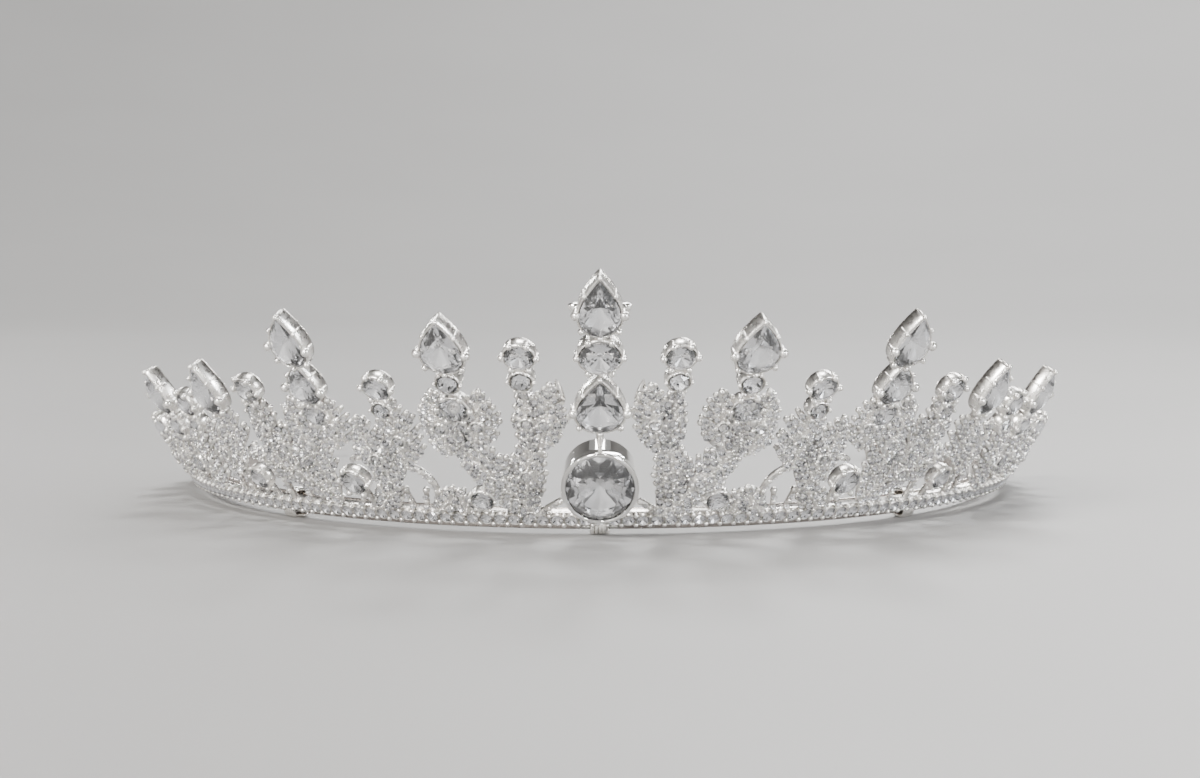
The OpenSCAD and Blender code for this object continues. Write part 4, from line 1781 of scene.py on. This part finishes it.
@dataclass
class Studio:
    """Pale floor that curves up all round, soft lights and the camera. Lengths are in metres."""

    target: Vector = field(default_factory=lambda: Vector((0, -0.01, 0.021)))
    distance: float = 0.5
    elevation: float = 5.0
    lens: float = 88.0
    near_clip: float = 0.01
    floor_middle: float = 0.25
    floor_radius: float = 0.5
    cove: float = 1.6
    sides: int = 72
    glint_distance: float = 0.75
    glint_size: float = 0.05
    glint_power: float = 0.1
    glint_spread: float = 60.0
    sky: Colour = (1, 0.99, 0.98)
    sky_strength: float = 0.35

    WARM = (1, 0.99, 0.97)
    # Soft lights: name, place, size, power and colour
    LIGHTS = (
        ("key_light", (-0.9, -1.35, 1.08), (0.54, 0.54), 52, (1, 0.97, 0.93)),
        ("side_light", (0.98, -0.59, 0.39), (0.16, 0.5), 12, (0.94, 0.97, 1)),
        ("back_light", (0.45, 1.2, 0.9), (0.9, 0.3), 22, (1, 1, 1)),
        ("top_light", (0.0, 0.15, 0.9), (0.35, 0.35), 9, WARM),
    )
    # Small lights all round: turn from the front and height
    GLINTS = ((-62, 0.12), (-34, 0.3), (-8, 0.1), (18, 0.42), (44, 0.14), (70, 0.34), (150, 0.3), (-150, 0.2))

    def floor(self) -> None:
        """Lays the pale floor."""
        mesh, made = bpy.data.meshes.new("floor"), bmesh.new()
        rings = [(self.floor_middle, 0.0), (self.floor_radius, 0.0)]
        for q in np.radians(np.arange(3, 91, 3)):
            rings.append((self.floor_radius + self.cove * math.sin(q), self.cove * (1 - math.cos(q))))
        rings.append((self.floor_radius + self.cove, 2 * self.cove))
        turns = turns_round(self.sides)
        loops = [[made.verts.new((r * math.cos(q), r * math.sin(q), z)) for q in turns] for r, z in rings]
        made.faces.new(loops[0])
        for low, high in zip(loops, loops[1:]):
            for k in range(self.sides):
                after = (k + 1) % self.sides
                made.faces.new((low[k], high[k], high[after], low[after]))
        made.normal_update()
        made.to_mesh(mesh)
        made.free()
        mesh.shade_smooth()
        mesh.materials.append(FloorFinish().build())
        link_object("floor", mesh)

    def light(
        self, name: str, place: Sequence[float], size: Sequence[float], power: float, colour: Colour,
        spread: float = 180.0,
    ) -> None:
        """Adds a soft light that faces the object.

        Args:
            name: Its name.
            place: Its place.
            size: Its width and height.
            power: Its power, in watts.
            colour: Its colour.
            spread: How widely it shines, in degrees.
        """
        lamp = bpy.data.lights.new(name, "AREA")
        lamp.shape, lamp.size, lamp.size_y = "RECTANGLE", *size
        lamp.energy, lamp.color, lamp.spread = power, colour, math.radians(spread)
        self.aim(link_object(name, lamp), Vector(place))

    def aim(self, thing: Piece, place: Vector) -> None:
        """Puts a light or the camera in its place, turned to the object."""
        thing.location, thing.rotation_mode = place, "QUATERNION"
        thing.rotation_quaternion = (self.target - place).to_track_quat("-Z", "Y")

    def build(self) -> None:
        """Sets up the studio."""
        self.floor()
        for row in self.LIGHTS:
            self.light(*row)
        size = (self.glint_size, self.glint_size)
        for i, (turn, height) in enumerate(self.GLINTS):
            a, r = math.radians(turn), self.glint_distance
            place = (r * math.sin(a), -r * math.cos(a), height)
            self.light(f"glint_light_{i + 1}", place, size, self.glint_power, self.WARM, self.glint_spread)
        world = bpy.data.worlds.new("studio")
        world.use_nodes = True
        sky = world.node_tree.nodes["Background"].inputs
        sky["Color"].default_value, sky["Strength"].default_value = (*self.sky, 1), self.sky_strength
        bpy.context.scene.world = world
        lens = bpy.data.cameras.new("camera")
        lens.lens, lens.clip_start = self.lens, self.near_clip
        camera = link_object("camera", lens)
        e = math.radians(self.elevation)
        self.aim(camera, self.target + Vector((0, -math.cos(e), math.sin(e))) * self.distance)
        bpy.context.scene.camera = camera


def main() -> None:
    """Builds the dressed diadem and its studio."""
    logging.basicConfig(level=logging.INFO, format="%(name)s: %(message)s")
    band_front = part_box("headband")[0].y / MM
    shop = Workshop(WallSurface(shift=band_front + Headband.radius + Headband.thickness))
    setting = StoneSetting(shop)
    MainStones(shop, setting).build()
    Openwork(shop, setting).build()
    Headband(shop).build()
    for angle, node in zip(TIE_ANGLES, ("binding_left", "binding_centre", "binding_right")):
        WireBinding(shop, angle, node).build()
    for side, node in zip(SIDES, ("clamp_left", "clamp_right")):
        EndClamp(shop, side, node).build()
    shop.clear_templates()
    Studio().build()
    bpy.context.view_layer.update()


if __name__ == "__main__":
    main()
